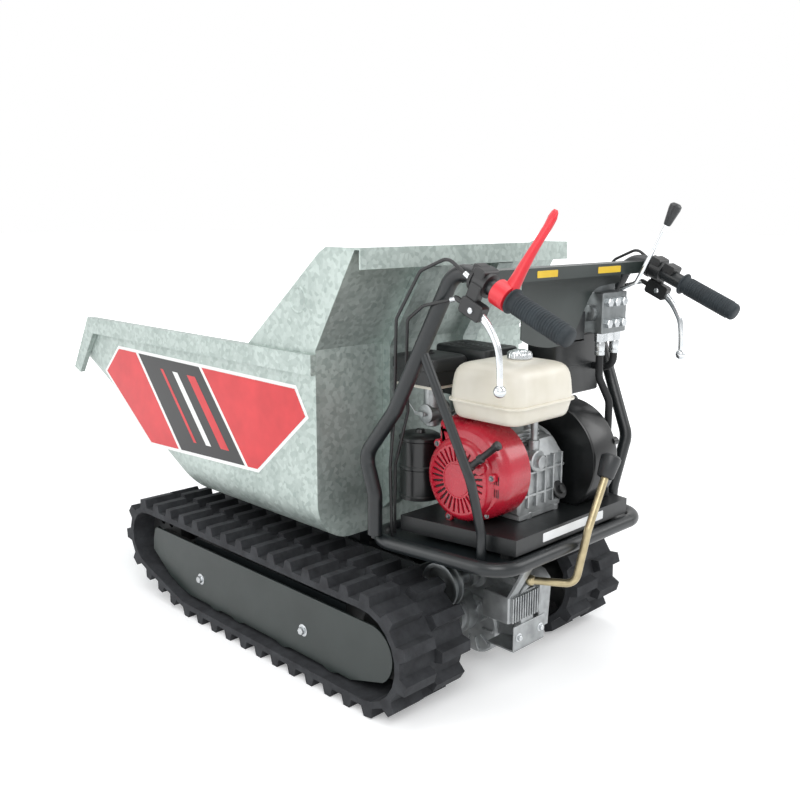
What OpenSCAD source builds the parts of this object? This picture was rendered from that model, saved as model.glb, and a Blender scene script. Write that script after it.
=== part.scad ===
// Walk-behind tracked mini dumper with a tipping skip.
// Millimetres. +X forward to the skip's lip, +Y to the machine's left, +Z up.
// The origin lies on the ground under the middle of the machine.

/* [Tracks] */
// Width of each rubber track
track_w = 180; // [140:5:220]
// Distance between the two tracks' middle planes
track_gauge = 550; // [540:5:600]
// Wanted pitch of the track's lugs
link_pitch = 60; // [50:1:70]
// Height of the lugs over the band
lug_h = 20; // [10:1:26]
// Thickness of the rubber band
band_t = 14; // [10:1:18]
// Width of the bare strip between the two rows of lugs
lug_gap = 14; // [6:1:24]
// Length that the flank of a lug slants over
lug_slant = 6; // [3:0.5:9]

/* [Undercarriage] */
// Radius of the sprocket where the band lies on it
sprocket_r = 95.5; // [85:0.5:100]
// Place of the sprocket's axle along the machine
sprocket_x = -396; // [-420:1:-380]
// Radius of the front idler wheel
idler_r = 71; // [60:1:78]
// Place of the idler's axle along the machine
idler_x = 417; // [400:1:440]
// Height of the idler's axle
idler_z = 155; // [140:1:160]
// Radius of the bottom rollers
roller_r = 35; // [28:1:38]
// Place of the front bottom roller
roller_front_x = 255; // [230:1:280]
// Place of the rear bottom roller
roller_rear_x = -255; // [-265:1:-230]
// Width of rollers, idlers and track beams
roller_w = 60; // [40:2:70]
// Height of the track beam's section
beam_h = 50; // [40:1:60]
// Thickness of the side plates
side_plate_t = 5; // [3:0.5:8]
// Distance of a side plate behind the track's outer face
side_plate_inset = 24; // [15:1:30]

/* [Chassis] */
// Height of the belly plate
belly_z = 80; // [70:1:90]
// Half width of the chassis tub over its plates
tub_half_w = 130; // [120:1:135]
// Thickness of the tub's plates
tub_t = 6; // [4:0.5:8]
// Height of the tub's side plates
tub_h = 150; // [130:1:160]
// Front end of the tub
tub_front_x = 440; // [430:1:450]
// Rear end of the tub
tub_rear_x = -330; // [-335:1:-325]

/* [Skip] */
// Width of the skip over its side walls
skip_w = 656; // [600:2:660]
// Sheet thickness of the skip
skip_t = 4; // [3:0.5:6]
// Height of the skip's flat bottom
skip_bottom_z = 300; // [290:1:310]
// Height of the rim
skip_rim_z = 702; // [690:1:715]
// Place of the rear wall
skip_rear_x = -226; // [-230:1:-215]
// Place where the flat bottom ends and the bend starts
skip_bend_x = 251; // [240:1:262]
// Slope of the front floor
skip_slope = 26.5; // [24:0.5:28]
// Inside radius of the bend between bottom and front floor, from its axis
skip_bend_r = 180; // [150:5:220]
// Radius of the corner between side wall and bottom
skip_corner_r = 90; // [60:5:110]
// Place of the lip
skip_lip_x = 802; // [790:1:810]
// Place of the rim's front corner
skip_rim_front_x = 711; // [700:1:720]
// Depth of the folded rim
rim_h = 42; // [30:1:50]
// Width of the folded rim
rim_w = 13; // [10:1:16]
// Height of the upper rear wall's edge
skip_back_z = 916; // [890:1:930]
// Place of the upper rear wall's edge
skip_back_x = -347; // [-360:1:-330]
// Width of the two channels on the rear wall
rib_w = 50; // [40:1:60]
// Depth of the two channels on the rear wall
rib_d = 22; // [15:1:24]
// Distance of the channels from the middle
rib_y = 117; // [90:1:150]

/* [Tipping] */
// Place of the tipping pivot along the machine
pivot_x = 420; // [415:1:425]
// Height of the tipping pivot
pivot_z = 262; // [258:1:266]
// Diameter of the tipping pivot's pin
pivot_d = 25; // [20:1:30]
// Place of the cylinder's base pin
cyl_base_x = -250; // [-260:1:-240]
// Height of the cylinder's base pin
cyl_base_z = 112; // [110:1:118]
// Place of the rod's eye under the skip at rest
cyl_eye_x = 255; // [250:1:260]
// Height of the rod's eye at rest
cyl_eye_z = 258; // [255:1:262]
// Diameter of the cylinder's barrel
barrel_d = 50; // [44:1:56]
// Diameter of the rod
rod_d = 28; // [22:1:32]
// Diameter of the cylinder's pins
cyl_pin_d = 20; // [16:1:22]

/* [Platform] */
// Height of the platform tube's middle
platform_z = 333; // [328:1:338]
// Front edge of the platform
platform_front_x = -324; // [-326:1:-310]
// Rear edge of the platform
platform_rear_x = -643; // [-660:1:-635]
// Half width at the front
platform_front_w = 284; // [270:1:300]
// Half width at the rear
platform_rear_w = 240; // [220:1:260]
// Diameter of the platform's tube
platform_tube_d = 28; // [22:1:32]
// Height of the engine base's top
base_top_z = 382; // [376:1:390]

/* [Engine] */
// Place of the crankshaft along the machine
crank_x = -490; // [-496:1:-484]
// Height of the crankshaft
crank_z = 470; // [466:1:474]
// Outer face of the fan cover
cover_y = 195; // [188:1:200]
// Number of slots round the starter
slot_count = 30; // [20:1:36]
// Number of fins on the engine's cylinder
fin_count = 9; // [6:1:10]

/* [Handlebars] */
// Half distance between the handlebars
bar_y = 284; // [275:1:295]
// Diameter of the handlebar tube
bar_d = 30; // [26:1:33]
// Diameter of the thin stay
stay_d = 18; // [14:1:22]
// Diameter of the right handlebar's rear leg
leg_d = 26; // [20:1:29]
// Slope of the grips
grip_slope = 23.8; // [15:0.1:30]
// Length of the grips
grip_len = 130; // [110:1:140]
// Diameter of the grips
grip_d = 38; // [36:1:42]

/* [Hidden] */
$fn = 64;

seat = 0.3;              // gap between pieces that rest on each other
bore_gap = 0.3;          // radial play of a pin in its bore
side_gap = 2;            // play between a pin's cheeks
track_y = track_gauge / 2;

// The wheels that a track runs round, in the order of travel: x, z, radius
ground_band = lug_h + band_t;
sprocket_z = ground_band + sprocket_r;
roller_z = ground_band + roller_r;
WHEELS = [[sprocket_x, sprocket_z, sprocket_r],
    [roller_front_x, roller_z, roller_r],
    [idler_x, idler_z, idler_r]];

// Outward angle of the straight run from wheel i to the next one
function run_angle(i) =
    let(a = WHEELS[i % 3], b = WHEELS[(i + 1) % 3], v = [b[0] - a[0], b[1] - a[1]])
    atan2(v[1], v[0]) - acos((a[2] - b[2]) / norm(v));
function run_len(i) =
    let(a = WHEELS[i % 3], b = WHEELS[(i + 1) % 3], v = [b[0] - a[0], b[1] - a[1]])
    sqrt(norm(v) * norm(v) - (a[2] - b[2]) * (a[2] - b[2]));
function positive(a) = a < 0 ? a + 360 : (a >= 360 ? a - 360 : a);
function wrap_angle(i) = positive(run_angle(i + 1) - run_angle(i));
RUNS = [for (i = [0:2]) run_len(i)];
WRAPS = [for (i = [0:2]) wrap_angle(i)];
ARCS = [for (i = [0:2]) WRAPS[i] * PI / 180 * (WHEELS[(i + 1) % 3][2] + band_t / 2)];
PAIRS = [for (i = [0:2]) RUNS[i] + ARCS[i]];
loop_len = PAIRS[0] + PAIRS[1] + PAIRS[2];
link_count = round(loop_len / link_pitch);
pitch = loop_len / link_count;

// Point at distance s along the loop and height h over the band's inner face
function belt(s, h) =
    s >= loop_len ? belt(s - loop_len, h) :
    let(i = s < PAIRS[0] ? 0 : (s < PAIRS[0] + PAIRS[1] ? 1 : 2),
        t = s - (i > 0 ? PAIRS[0] : 0) - (i > 1 ? PAIRS[1] : 0),
        a = WHEELS[i], b = WHEELS[(i + 1) % 3], n = run_angle(i))
    t < RUNS[i]
        ? [a[0] + (a[2] + h) * cos(n) - t * sin(n), a[1] + (a[2] + h) * sin(n) + t * cos(n)]
        : let(m = n + (t - RUNS[i]) / ARCS[i] * WRAPS[i])
          [b[0] + (b[2] + h) * cos(m), b[1] + (b[2] + h) * sin(m)];

function lug_outline(phase) = [for (k = [0:link_count - 1])
    for (q = [[0, band_t], [lug_slant, band_t + lug_h],
        [pitch / 2 - lug_slant, band_t + lug_h], [pitch / 2, band_t]])
    belt((k + phase) * pitch + q[0], q[1])];
// How far a short flat of the band reaches inside its true circle
function flat_sag(r) = r * (1 - cos(pitch / (4 * r + 2 * band_t) * 180 / PI));
function band_outline(h) = [for (k = [0:2 * link_count - 1]) belt(k * pitch / 2, h)];

// Cylinder along Y between two places
module rod_y(r, y0, y1) {
    translate([0, y1, 0]) rotate([90, 0, 0]) cylinder(r = r, h = y1 - y0);
}

// A side view outline, x and z, made as thick as the stretch from y0 to y1
module plate_y(y0, y1) {
    translate([0, y1, 0]) rotate([90, 0, 0]) linear_extrude(y1 - y0) children();
}

// Cylinder or cone from point a to point b
module rod(a, b, r1, r2 = -1) {
    v = b - a;
    translate(a) rotate([0, acos(v[2] / norm(v)), atan2(v[1], v[0])])
        cylinder(r1 = r1, r2 = r2 < 0 ? r1 : r2, h = norm(v));
}

// Round bar along points, with true bends of radius bend_r at the inner points.
// The straight stretches reach a hair into the bends, which are a hair thicker.
bend_lap = 0.5;
bend_swell = 0.15;
module bent_tube(pts, r, bend_r, closed = false) {
    n = len(pts);
    runs = closed ? n : n - 1;
    dirs = [for (i = [0:runs - 1]) let(v = pts[(i + 1) % n] - pts[i]) v / norm(v)];
    turns = [for (i = [0:n - 1]) (!closed && (i == 0 || i == n - 1)) ? 0
        : acos(min(1, dirs[(i + runs - 1) % runs] * dirs[i % runs]))];
    cuts = [for (t = turns) t == 0 ? 0 : bend_r * tan(t / 2) - bend_lap];
    for (i = [0:runs - 1])
        rod(pts[i] + dirs[i] * cuts[i], pts[(i + 1) % n] - dirs[i] * cuts[(i + 1) % n], r);
    for (i = [0:n - 1]) if (turns[i] > 0) {
        a = dirs[(i + runs - 1) % runs];
        b = dirs[i % runs];
        side = (b - a * (a * b)) / norm(b - a * (a * b));
        ex = -side;
        ez = cross(ex, a);
        centre = pts[i] - a * bend_r * tan(turns[i] / 2) + side * bend_r;
        multmatrix([[ex[0], a[0], ez[0], centre[0]], [ex[1], a[1], ez[1], centre[1]],
            [ex[2], a[2], ez[2], centre[2]], [0, 0, 0, 1]])
            rotate_extrude(angle = turns[i]) translate([bend_r, 0]) circle(r = r + bend_swell);
    }
}

module side_of(s) {
    if (s > 0) children();
    else mirror([0, 1, 0]) children();
}

module track(s) color("#2b2b2d") {
    y0 = track_y - track_w / 2;
    y1 = track_y + track_w / 2;
    ya = track_y - lug_gap / 2;
    yb = track_y + lug_gap / 2;
    side_of(s) difference() {
        union() {
            plate_y(y0, ya) polygon(lug_outline(0));
            plate_y(yb, y1) polygon(lug_outline(0.5));
            plate_y(ya, yb) polygon(band_outline(band_t));
        }
        plate_y(y0 - 1, y1 + 1) polygon(band_outline(0));
    }
}

roller_count = 4;
module track_beam(s) color("#33383a") side_of(s) {
    y0 = track_y - roller_w / 2;
    y1 = track_y + roller_w / 2;
    step = (roller_front_x - roller_rear_x) / (roller_count - 1);
    // Box beam, open under the rollers
    translate([roller_rear_x - 30, y0, idler_z - beam_h / 2])
        cube([roller_front_x - roller_rear_x + 60, roller_w, beam_h]);
    // Bottom rollers in their forks
    for (i = [0:roller_count - 1]) translate([roller_rear_x + i * step, 0, roller_z]) {
        r = roller_r - seat - (i == roller_count - 1 ? 1 : 0);
        rod_y(r, y0, track_y - 8);
        rod_y(r, track_y + 8, y1);
        rod_y(roller_r - 8, track_y - 8, track_y + 8);
        rod_y(9, y0 - 10, y1 + 10);
        for (y = [y0 - 10, y1 + 4]) translate([-15, y, -15])
            cube([30, 6, idler_z - beam_h / 2 - roller_z + 35]);
    }
    // Cross tubes to the chassis tub
    for (x = [-160, 160]) translate([x, 0, idler_z])
        rod_y(20, tub_half_w + 0, y0 + 1);
    // Bosses that carry the side plate
    for (x = PLATE_BOLTS) translate([x, 0, idler_z])
        rod_y(10, y1 - 1, track_y + track_w / 2 - side_plate_inset - side_plate_t);
}
PLATE_BOLTS = [206, -190];

module side_plate(s) color("#3c4542") side_of(s) {
    y1 = track_y + track_w / 2 - side_plate_inset;
    top_z = sprocket_z + 60;
    plate_y(y1 - side_plate_t, y1) union() {
        translate([sprocket_x, sprocket_z]) circle(r = 60, $fn = 64);
        polygon([[sprocket_x, top_z], [idler_x - 30, top_z], [idler_x - 10, top_z - 16],
            [idler_x - 4, idler_z - 16], [roller_front_x + 45, roller_z - 12],
            [roller_front_x - 10, roller_z - 22], [130, roller_z - 18],
            [-340, roller_z - 18], [sprocket_x, sprocket_z - 60]]);
        for (x = [0, -170, -320]) translate([x, roller_z - 8]) circle(r = 22);
    }
    for (x = PLATE_BOLTS) translate([x, 0, idler_z]) rod_y(7, y1 - 0.5, y1 + 5, $fn = 6);
}

module idler(s) color("#2f3335") side_of(s) {
    y0 = track_y - roller_w / 2;
    y1 = track_y + roller_w / 2;
    rim_r = idler_r - flat_sag(idler_r) - seat;
    translate([idler_x, 0, idler_z]) difference() {
        union() {
            rod_y(rim_r, y0, track_y - 10);
            rod_y(rim_r, track_y + 10, y1);
            rod_y(idler_r - 14, track_y - 10, track_y + 10);
            rod_y(14, y0 - 12, y1 + 12);
        }
        for (k = [0:5]) rotate([0, 60 * k, 0]) translate([idler_r * 0.55, 0, 0])
            rod_y(11, y0 - 1, y1 + 1);
    }
    // Sliding fork to the beam
    for (y = [y0 - 12, y1 + 4]) translate([roller_front_x + 30, y, idler_z - 16])
        cube([idler_x - roller_front_x - 30, 8, 32]);
    translate([roller_front_x + 30, y0 - 12, idler_z - 16]) cube([14, roller_w + 24, 32]);
}

sprocket_teeth = 10;
module sprocket(s) color("#3a3a3a") side_of(s) translate([sprocket_x, 0, sprocket_z]) {
    tip_r = sprocket_r - flat_sag(sprocket_r) - seat;
    difference() {
        union() {
            rod_y(tip_r - 14, track_y - 12, track_y + 12);
            for (k = [0:sprocket_teeth - 1]) rotate([0, 360 / sprocket_teeth * k, 0])
                plate_y(track_y - 10, track_y + 10)
                polygon([[tip_r - 22, -16], [tip_r - 0.7, -9], [tip_r - 0.7, 9], [tip_r - 22, 16]]);
            rod_y(34, track_y - track_w / 2 + seat, track_y + 24);
        }
        for (k = [0:4]) rotate([0, 72 * k, 0]) translate([56, 0, 0])
            rod_y(12, track_y - 20, track_y + 20);
    }
}

bracket_y = 68;
// Hinge ears of the tub, in side view
module tub_side() {
    difference() {
        union() {
            translate([tub_rear_x, belly_z]) square([tub_front_x - tub_rear_x - 60, tub_h]);
            polygon([[pivot_x - 140, belly_z], [pivot_x - 20, belly_z + 60],
                [pivot_x + 28, pivot_z], [pivot_x - 28, pivot_z], [pivot_x - 140, belly_z + tub_h]]);
            translate([pivot_x, pivot_z]) circle(r = 28);
        }
        translate([pivot_x, pivot_z]) circle(d = pivot_d + 2 * seat);
    }
}

module chassis_frame() color("#3b4447") {
    for (s = [-1, 1]) side_of(s) {
        plate_y(tub_half_w - tub_t, tub_half_w) tub_side();
    }
    // Brackets that carry the platform
    sheet_z = platform_z - 2 - seat;
    for (s = [-1, 1]) side_of(s) plate_y(bracket_y, bracket_y + tub_t)
        polygon([[tub_rear_x + 1, belly_z + 70], [tub_rear_x + 1, platform_z - platform_tube_d / 2 - 8],
            [tub_rear_x - 16, sheet_z], [tub_rear_x - 260, sheet_z], [tub_rear_x - 260, sheet_z - 28],
            [tub_rear_x - 14, belly_z + 175], [tub_rear_x - 14, belly_z + 70]]);
    translate([tub_rear_x, -tub_half_w + 1, belly_z])
        cube([tub_front_x - tub_rear_x - 140, 2 * tub_half_w - 2, tub_t]);
    // Rear plate with room for the cylinder's hose
    translate([tub_rear_x, -tub_half_w + 1, belly_z])
        cube([tub_t, 2 * tub_half_w - 2, tub_h]);
    // Front cross tube
    translate([pivot_x - 90, 0, belly_z + 70]) rod_y(16, -tub_half_w + 1, tub_half_w - 1);
    // Bracket of the cylinder's base pin
    for (s = [-1, 1]) side_of(s) plate_y(15 + side_gap, 15 + side_gap + 8) difference() {
        union() {
            translate([cyl_base_x, cyl_base_z]) circle(r = 22);
            translate([cyl_base_x - 22, belly_z + 1]) square([44, cyl_base_z - belly_z - 1]);
        }
        translate([cyl_base_x, cyl_base_z]) circle(d = cyl_pin_d + 2 * seat);
    }
    // Rest pads for the skip
    for (s = [-1, 1]) translate([-120, s * (tub_half_w - 30) - 15, belly_z])
        cube([40, 30, skip_bottom_z - belly_z - seat]);
}

module hinge_pin() color("#9a9d9f") {
    translate([pivot_x, 0, pivot_z]) {
        rod_y(pivot_d / 2, -tub_half_w - 6, tub_half_w + 6);
    }
    translate([cyl_base_x, 0, cyl_base_z]) rod_y(cyl_pin_d / 2, -32, 32);
}

module gearbox() color("#b9bcbe") {
    translate([sprocket_x, 0, sprocket_z]) {
        rod_y(tub_rear_x - sprocket_x - seat, -62, 62);
        rod_y(30, -(track_y - track_w / 2), track_y - track_w / 2);
    }
    translate([-560, -62, 80]) cube([140, 124, 150]);
    translate([-540, -50, 229]) cube([120, 100, 50]);
    translate([-400, 0, 225]) rod_y(30, -50, 50);
}

module drive_pulley() color("#4a4d50") translate([-400, 0, 225]) {
    rod_y(45, 140, 170);
    rod_y(12, 50 + seat, 141);
}

module gear_lever() color("#b5ab90") {
    bent_tube([[-540 - 1.4, 45, 255], [-662, 30, 260], [-672, 8, 368], [-672, -52, 480]], 8, 24);
    rod([-672, -44, 465], [-672, -66, 506], 18);
}

module platform_outline(d) {
    polygon([[platform_front_x - d, platform_front_w - d], [platform_rear_x + d, platform_rear_w - d],
        [platform_rear_x + d, -platform_rear_w + d], [platform_front_x - d, -platform_front_w + d]]);
}

module platform() color("#23282a") {
    z = platform_z;
    bent_tube([[platform_front_x, platform_front_w, z], [platform_front_x, -platform_front_w, z],
        [platform_rear_x, -platform_rear_w, z], [platform_rear_x, platform_rear_w, z]],
        platform_tube_d / 2, 60, closed = true);
    translate([0, 0, z - 2]) linear_extrude(5) platform_outline(8);
}

base_t = 32;
module engine_base() color("#18191a") {
    difference() {
        translate([0, 0, base_top_z - base_t]) linear_extrude(base_t)
            polygon([[-377, 236], [-636, 190], [-636, -190], [-377, -236]]);
        translate([0, 0, base_top_z - base_t - 1]) linear_extrude(base_t - 3)
            polygon([[-382, 230], [-631, 184], [-631, -184], [-382, -230]]);
    }
    // Rubber mounts
    for (x = [-410, -600]) for (y = [-170, 170])
        translate([x, y, platform_z + 3 + seat]) cylinder(r = 15, h = base_top_z - 3 - platform_z - 3);
}

module engine_block() color("#a9acae") {
    y_case = cover_y - 90;
    translate([crank_x, 0, crank_z]) rod_y(80, -35, y_case);
    translate([crank_x - 85, -35, base_top_z]) cube([165, y_case + 35, 70]);
    // Finned cylinder leaning to the skip
    translate([crank_x + 30, 35, crank_z + 8]) rotate([0, 65, 0]) {
        cylinder(r = 42, h = 130);
        for (i = [0:fin_count - 1]) translate([-52, -52, 45 + 9 * i]) cube([104, 104, 4]);
    }
    // Head with the tank's seat, and the exhaust stub
    translate([crank_x - 70, 20, crank_z + 60]) cube([90, 80, 593 - seat - crank_z - 60]);
    translate([-372, 10, 540]) cylinder(r = 15, h = 600 - seat - 540);
    // Output shaft
    translate([crank_x, 0, crank_z]) rod_y(11, -60, -34);
}

module recoil_cover() color("#c4122f") {
    difference() {
        union() {
            plate_y(cover_y - 90 + seat, cover_y - 30) union() {
                translate([crank_x - 14, crank_z + 14]) circle(r = 98);
                translate([crank_x - 10, crank_z + 20]) square([78, 92]);
            }
            translate([crank_x, 0, crank_z]) rod_y(84, cover_y - 31, cover_y);
        }
        // Radial slots round the starter
        for (k = [0:slot_count - 1]) translate([crank_x, 0, crank_z]) rotate([0, 360 / slot_count * k, 0])
            translate([38, cover_y - 4, -2.2]) cube([28, 5, 4.4]);
        translate([crank_x, 0, crank_z]) rod_y(32, cover_y - 2, cover_y + 1);
    }
}

module starter_grip() color("#151515")
    rod([crank_x - 62, cover_y + 9.5, crank_z + 45], [crank_x - 123, cover_y + 9.5, crank_z + 95], 9);

module fuel_tank() color("#e6e2d6") {
    translate([-628, 2, 593]) cube([171, 194, 100]);
    translate([-610, 20, 693]) cube([135, 158, 8]);
}
module fuel_cap() color("#c9ccce") translate([-542, 75, 701 + seat]) cylinder(r = 24, h = 20);

module air_cleaner() color("#161616") {
    translate([-412, 72, 640]) cube([124, 110, 58]);
    translate([-400, 84, 604]) cube([100, 84, 37]);
    translate([-350, 100, 560]) rod_y(22, -13 + seat, 40);
    translate([-375, 100, 560]) cube([50, 30, 50]);
}

module muffler_guard() color("#141414") difference() {
    translate([-445, -52, 600]) cube([155, 104, 105]);
    for (i = [0:9]) translate([-435 + 14 * i, -53, 697]) cube([6, 106, 10]);
}

module canister() color("#1b1b1b") translate([-338, 140, base_top_z + 10]) {
    cylinder(r = 45, h = 140);
    translate([-18, -53 + seat, 70]) cube([30, 30, 40]);
}

module belt_guard() color("#0f0f10") difference() {
    plate_y(-150, -62) union() {
        translate([crank_x - 28, crank_z + 5]) circle(r = 118);
        translate([crank_x - 28, base_top_z + 0.3]) square([118, 120]);
    }
    plate_y(-146, -61) translate([crank_x - 28, crank_z + 5]) circle(r = 112);
    translate([-700, -160, base_top_z - 60.3]) cube([400, 120, 60.6]);
}

// Point where the bar's two straight stretches would meet, and the bar's route
bar_corner = [-562, 892];
grip_start = 134;
bar_end = grip_start + grip_len - 6;
function bar_point(s, d) = [bar_corner[0] - d * cos(grip_slope), s * bar_y,
    bar_corner[1] - d * sin(grip_slope)];

module handle(s, rear_d) color("#2a2d2f") {
    foot_z = platform_z + platform_tube_d / 2 + seat;
    stay_x = -580;
    tube_y = platform_rear_w + (stay_x - platform_rear_x) / (platform_front_x - platform_rear_x)
        * (platform_front_w - platform_rear_w);
    stay_y = tube_y - platform_tube_d / 2 - rear_d / 2 - 1.5;
    bent_tube([[-352, s * bar_y, foot_z], [-352, s * bar_y, 430],
        [-325, s * bar_y, 506], [-409, s * bar_y, 610],
        [bar_corner[0], s * bar_y, bar_corner[1]], bar_point(s, bar_end)], bar_d / 2, 45);
    bent_tube([[stay_x, s * stay_y, platform_z + 3 + seat],
        [stay_x, s * stay_y, platform_z + 55], [-584, s * 262, 500],
        [-478, s * bar_y, 737]], rear_d / 2, 60);
}

module on_bar(s, d) {
    translate([bar_corner[0], 0, bar_corner[1]]) rotate([0, -grip_slope, 0]) translate([-d, 0, 0])
        side_of(s) translate([0, bar_y, 0]) children();
}

module grip(s) color("#202224") on_bar(s, grip_start + grip_len) rotate([0, 90, 0]) difference() {
    cylinder(r = grip_d / 2, h = grip_len);
    translate([0, 0, 5]) cylinder(r = bar_d / 2 + seat, h = grip_len);
}

module control(s) color("#1c1d1f") on_bar(s, 70) difference() {
    union() {
        translate([-26, -28, -24]) cube([52, 56, 48]);
        translate([-30, 6, -78]) cube([44, 26, 56]);
    }
    translate([-40, 0, 0]) rotate([0, 90, 0]) cylinder(r = bar_d / 2 + seat, h = 80);
}

module brake_lever(s) color("#c9cccf") on_bar(s, 70) {
    rod([-10, 19, -80.1], [-52, 19, -196], 5, 7);
    translate([-52, 19, -196]) sphere(r = 11);
}

module stop_lever() color("#d3232f") {
    on_bar(1, 118) difference() {
        translate([-14, -24, -22]) cube([28, 48, 50]);
        translate([-40, 0, 0]) rotate([0, 90, 0]) cylinder(r = bar_d / 2 + seat, h = 80);
    }
    rod([-678, 280, 866], [-734, 241, 989], 9);
}

module cross_panel() color("#1f2b28") {
    half = bar_y - bar_d / 2 - seat;
    translate([-598, -half, 868]) cube([75, 2 * half, 4]);
    translate([-527, -half, 760]) cube([4, 2 * half, 109]);
    translate([-527, -240, 640]) cube([4, 150, 121]);
}

module hydraulic_valve() color("#8e9192") {
    translate([-587, -230, 740]) cube([60 - seat, 90, 80]);
    for (y = [-215, -185, -155]) translate([-560, y, 700]) cylinder(r = 9, h = 41);
}

module tip_lever() color("#1a1a1b") {
    rod([-572, -215, 822.5], [-672, -228, 960], 4);
    rod([-672, -228, 958], [-690, -230, 1000], 7, 12);
}

module oil_tank() color("#17181a") translate([-523 + seat, -240, 600]) cube([83, 170, 130]);

// The skip: a sheet folded round two lower corners and bent up at the front.
// Its section has walls of one thickness that reach a little over the round corners.
function skip_half_w(inset) = skip_w / 2 - inset;
module trough_section(inset, over) {
    w = skip_half_w(inset);
    r = skip_corner_r - inset;
    intersection() {
        union() {
            translate([-w + r, inset]) square([2 * (w - r), r + over]);
            translate([-w, inset + r]) square([2 * w, over]);
            for (x = [-w + r, w - r]) translate([x, inset + r]) circle(r = r);
        }
        translate([-w - 1, -1]) square([2 * w + 2, skip_corner_r + over + 1]);
    }
}
module sheet_section(over, swell = 0) difference() {
    trough_section(-swell, over);
    trough_section(skip_t + swell, over + 1);
}
bend_z = skip_bottom_z + skip_bend_r;
wall_lap = 8;
wall_step = 0.1;         // the flat walls lie this much inside the upstands they meet
sheet_swell = 0.15;      // the bend's sheet is this much thicker on each side
lip_run = (skip_lip_x - skip_bend_x) / cos(skip_slope);
module trough_sheet() {
    flat_x = skip_rear_x + skip_t / 2;
    // Flat stretch
    translate([skip_bend_x + bend_lap, 0, skip_bottom_z]) rotate([90, 0, -90])
        linear_extrude(skip_bend_x + bend_lap - flat_x) sheet_section(2 * wall_lap);
    // Bend round an axis over the bottom
    translate([skip_bend_x, 0, bend_z]) rotate([90, 0, 0]) rotate([0, 0, -90])
        rotate_extrude(angle = skip_slope) translate([skip_bend_r, 0]) rotate(90)
        sheet_section(2 * wall_lap, sheet_swell);
    // Sloping front floor
    translate([skip_bend_x, 0, bend_z]) rotate([0, -skip_slope, 0])
        translate([-bend_lap, 0, -skip_bend_r]) rotate([90, 0, 90]) linear_extrude(lip_run)
        sheet_section(2 * wall_lap);
}

// Side view of the flat walls over the round corners
module wall_view() {
    low = skip_corner_r + wall_lap;
    low_x = skip_bend_x + (skip_bend_r - low) * tan(skip_slope / 2);
    run = 2 * lip_run;
    polygon([[skip_rear_x, skip_bottom_z + low], [low_x, skip_bottom_z + low],
        [low_x + run, skip_bottom_z + low + run * tan(skip_slope)], [skip_rear_x, 2 * run]]);
}

// Side view that trims the skip at its lip and rim
module skip_side_view() polygon([[skip_rear_x, skip_bottom_z - 10], [1000, skip_bottom_z - 10],
    [1000, 560], [skip_lip_x, 555], [skip_rim_front_x, skip_rim_z], [skip_rear_x, skip_rim_z]]);

module skip_body() color("#b4bcbd") {
    w = skip_w / 2;
    intersection() {
        trough_sheet();
        plate_y(-w - 1, w + 1) skip_side_view();
    }
    for (s = [-1, 1]) side_of(s) plate_y(w - skip_t + wall_step, w - wall_step) intersection() {
        wall_view();
        skip_side_view();
    }
    // Rear wall
    translate([skip_rear_x + skip_t, 0, skip_bottom_z]) rotate([90, 0, -90])
        linear_extrude(skip_t) trough_section(0, skip_rim_z - skip_bottom_z - skip_corner_r);
    // Rear wall's upper part, leaning back
    lean_x = skip_back_x - skip_rear_x;
    plate_y(-w, w) polygon([[skip_rear_x, skip_rim_z - 1], [skip_rear_x + skip_t, skip_rim_z - 1],
        [skip_rear_x + skip_t, skip_rim_z + 8], [skip_back_x + skip_t, skip_back_z],
        [skip_back_x, skip_back_z], [skip_rear_x, skip_rim_z + 8]]);
    // Flange folded down from the upper edge
    plate_y(-w, w) polygon([[skip_back_x - 14, skip_back_z], [skip_back_x + skip_t, skip_back_z],
        [skip_back_x + skip_t, skip_back_z - skip_t], [skip_back_x - 14 + skip_t, skip_back_z - skip_t],
        [skip_back_x - 14 + skip_t, skip_back_z - 40], [skip_back_x - 14, skip_back_z - 40]]);
    // Side wings
    for (s = [-1, 1]) side_of(s) plate_y(w - skip_t, w)
        polygon([[skip_rear_x + 1, skip_rim_z - 1], [0, skip_rim_z - 1], [0, skip_rim_z + 2],
            [-240, skip_back_z - 12], [-262, skip_back_z], [skip_back_x + 1, skip_back_z],
            [skip_rear_x + 1, skip_rim_z + 8]]);
}

module skip_rim() color("#bcc4c5") for (s = [-1, 1]) side_of(s) {
    y0 = skip_w / 2 + seat;
    plate_y(y0, y0 + rim_w)
        polygon([[skip_rear_x, skip_rim_z], [skip_rim_front_x + 8, skip_rim_z],
            [skip_rim_front_x - 18, skip_rim_z - rim_h], [skip_rear_x, skip_rim_z - rim_h]]);
    plate_y(y0, y0 + rim_w)
        polygon([[skip_rim_front_x + 8.4, skip_rim_z], [skip_lip_x + 12, 556],
            [skip_lip_x - 20, 544], [skip_rim_front_x - 17.6, skip_rim_z - rim_h + 0.4]]);
}

module skip_ribs() color("#aeb6b7") {
    x = skip_rear_x - seat;
    lean = [skip_back_x - skip_rear_x, skip_back_z - skip_rim_z - 8];
    u = lean / norm(lean);
    for (s = [-1, 1]) translate([0, s * rib_y, 0]) plate_y(-rib_w / 2, rib_w / 2)
        polygon([[x, skip_bottom_z + 40], [x - rib_d, skip_bottom_z + 60],
            [x - rib_d, skip_rim_z + 2], [skip_back_x - 40 * u[0] - rib_d - seat, skip_back_z - 40 * u[1] - 8],
            [skip_back_x - 40 * u[0] - seat, skip_back_z - 40 * u[1]], [x, skip_rim_z + 8]]);
}

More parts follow.
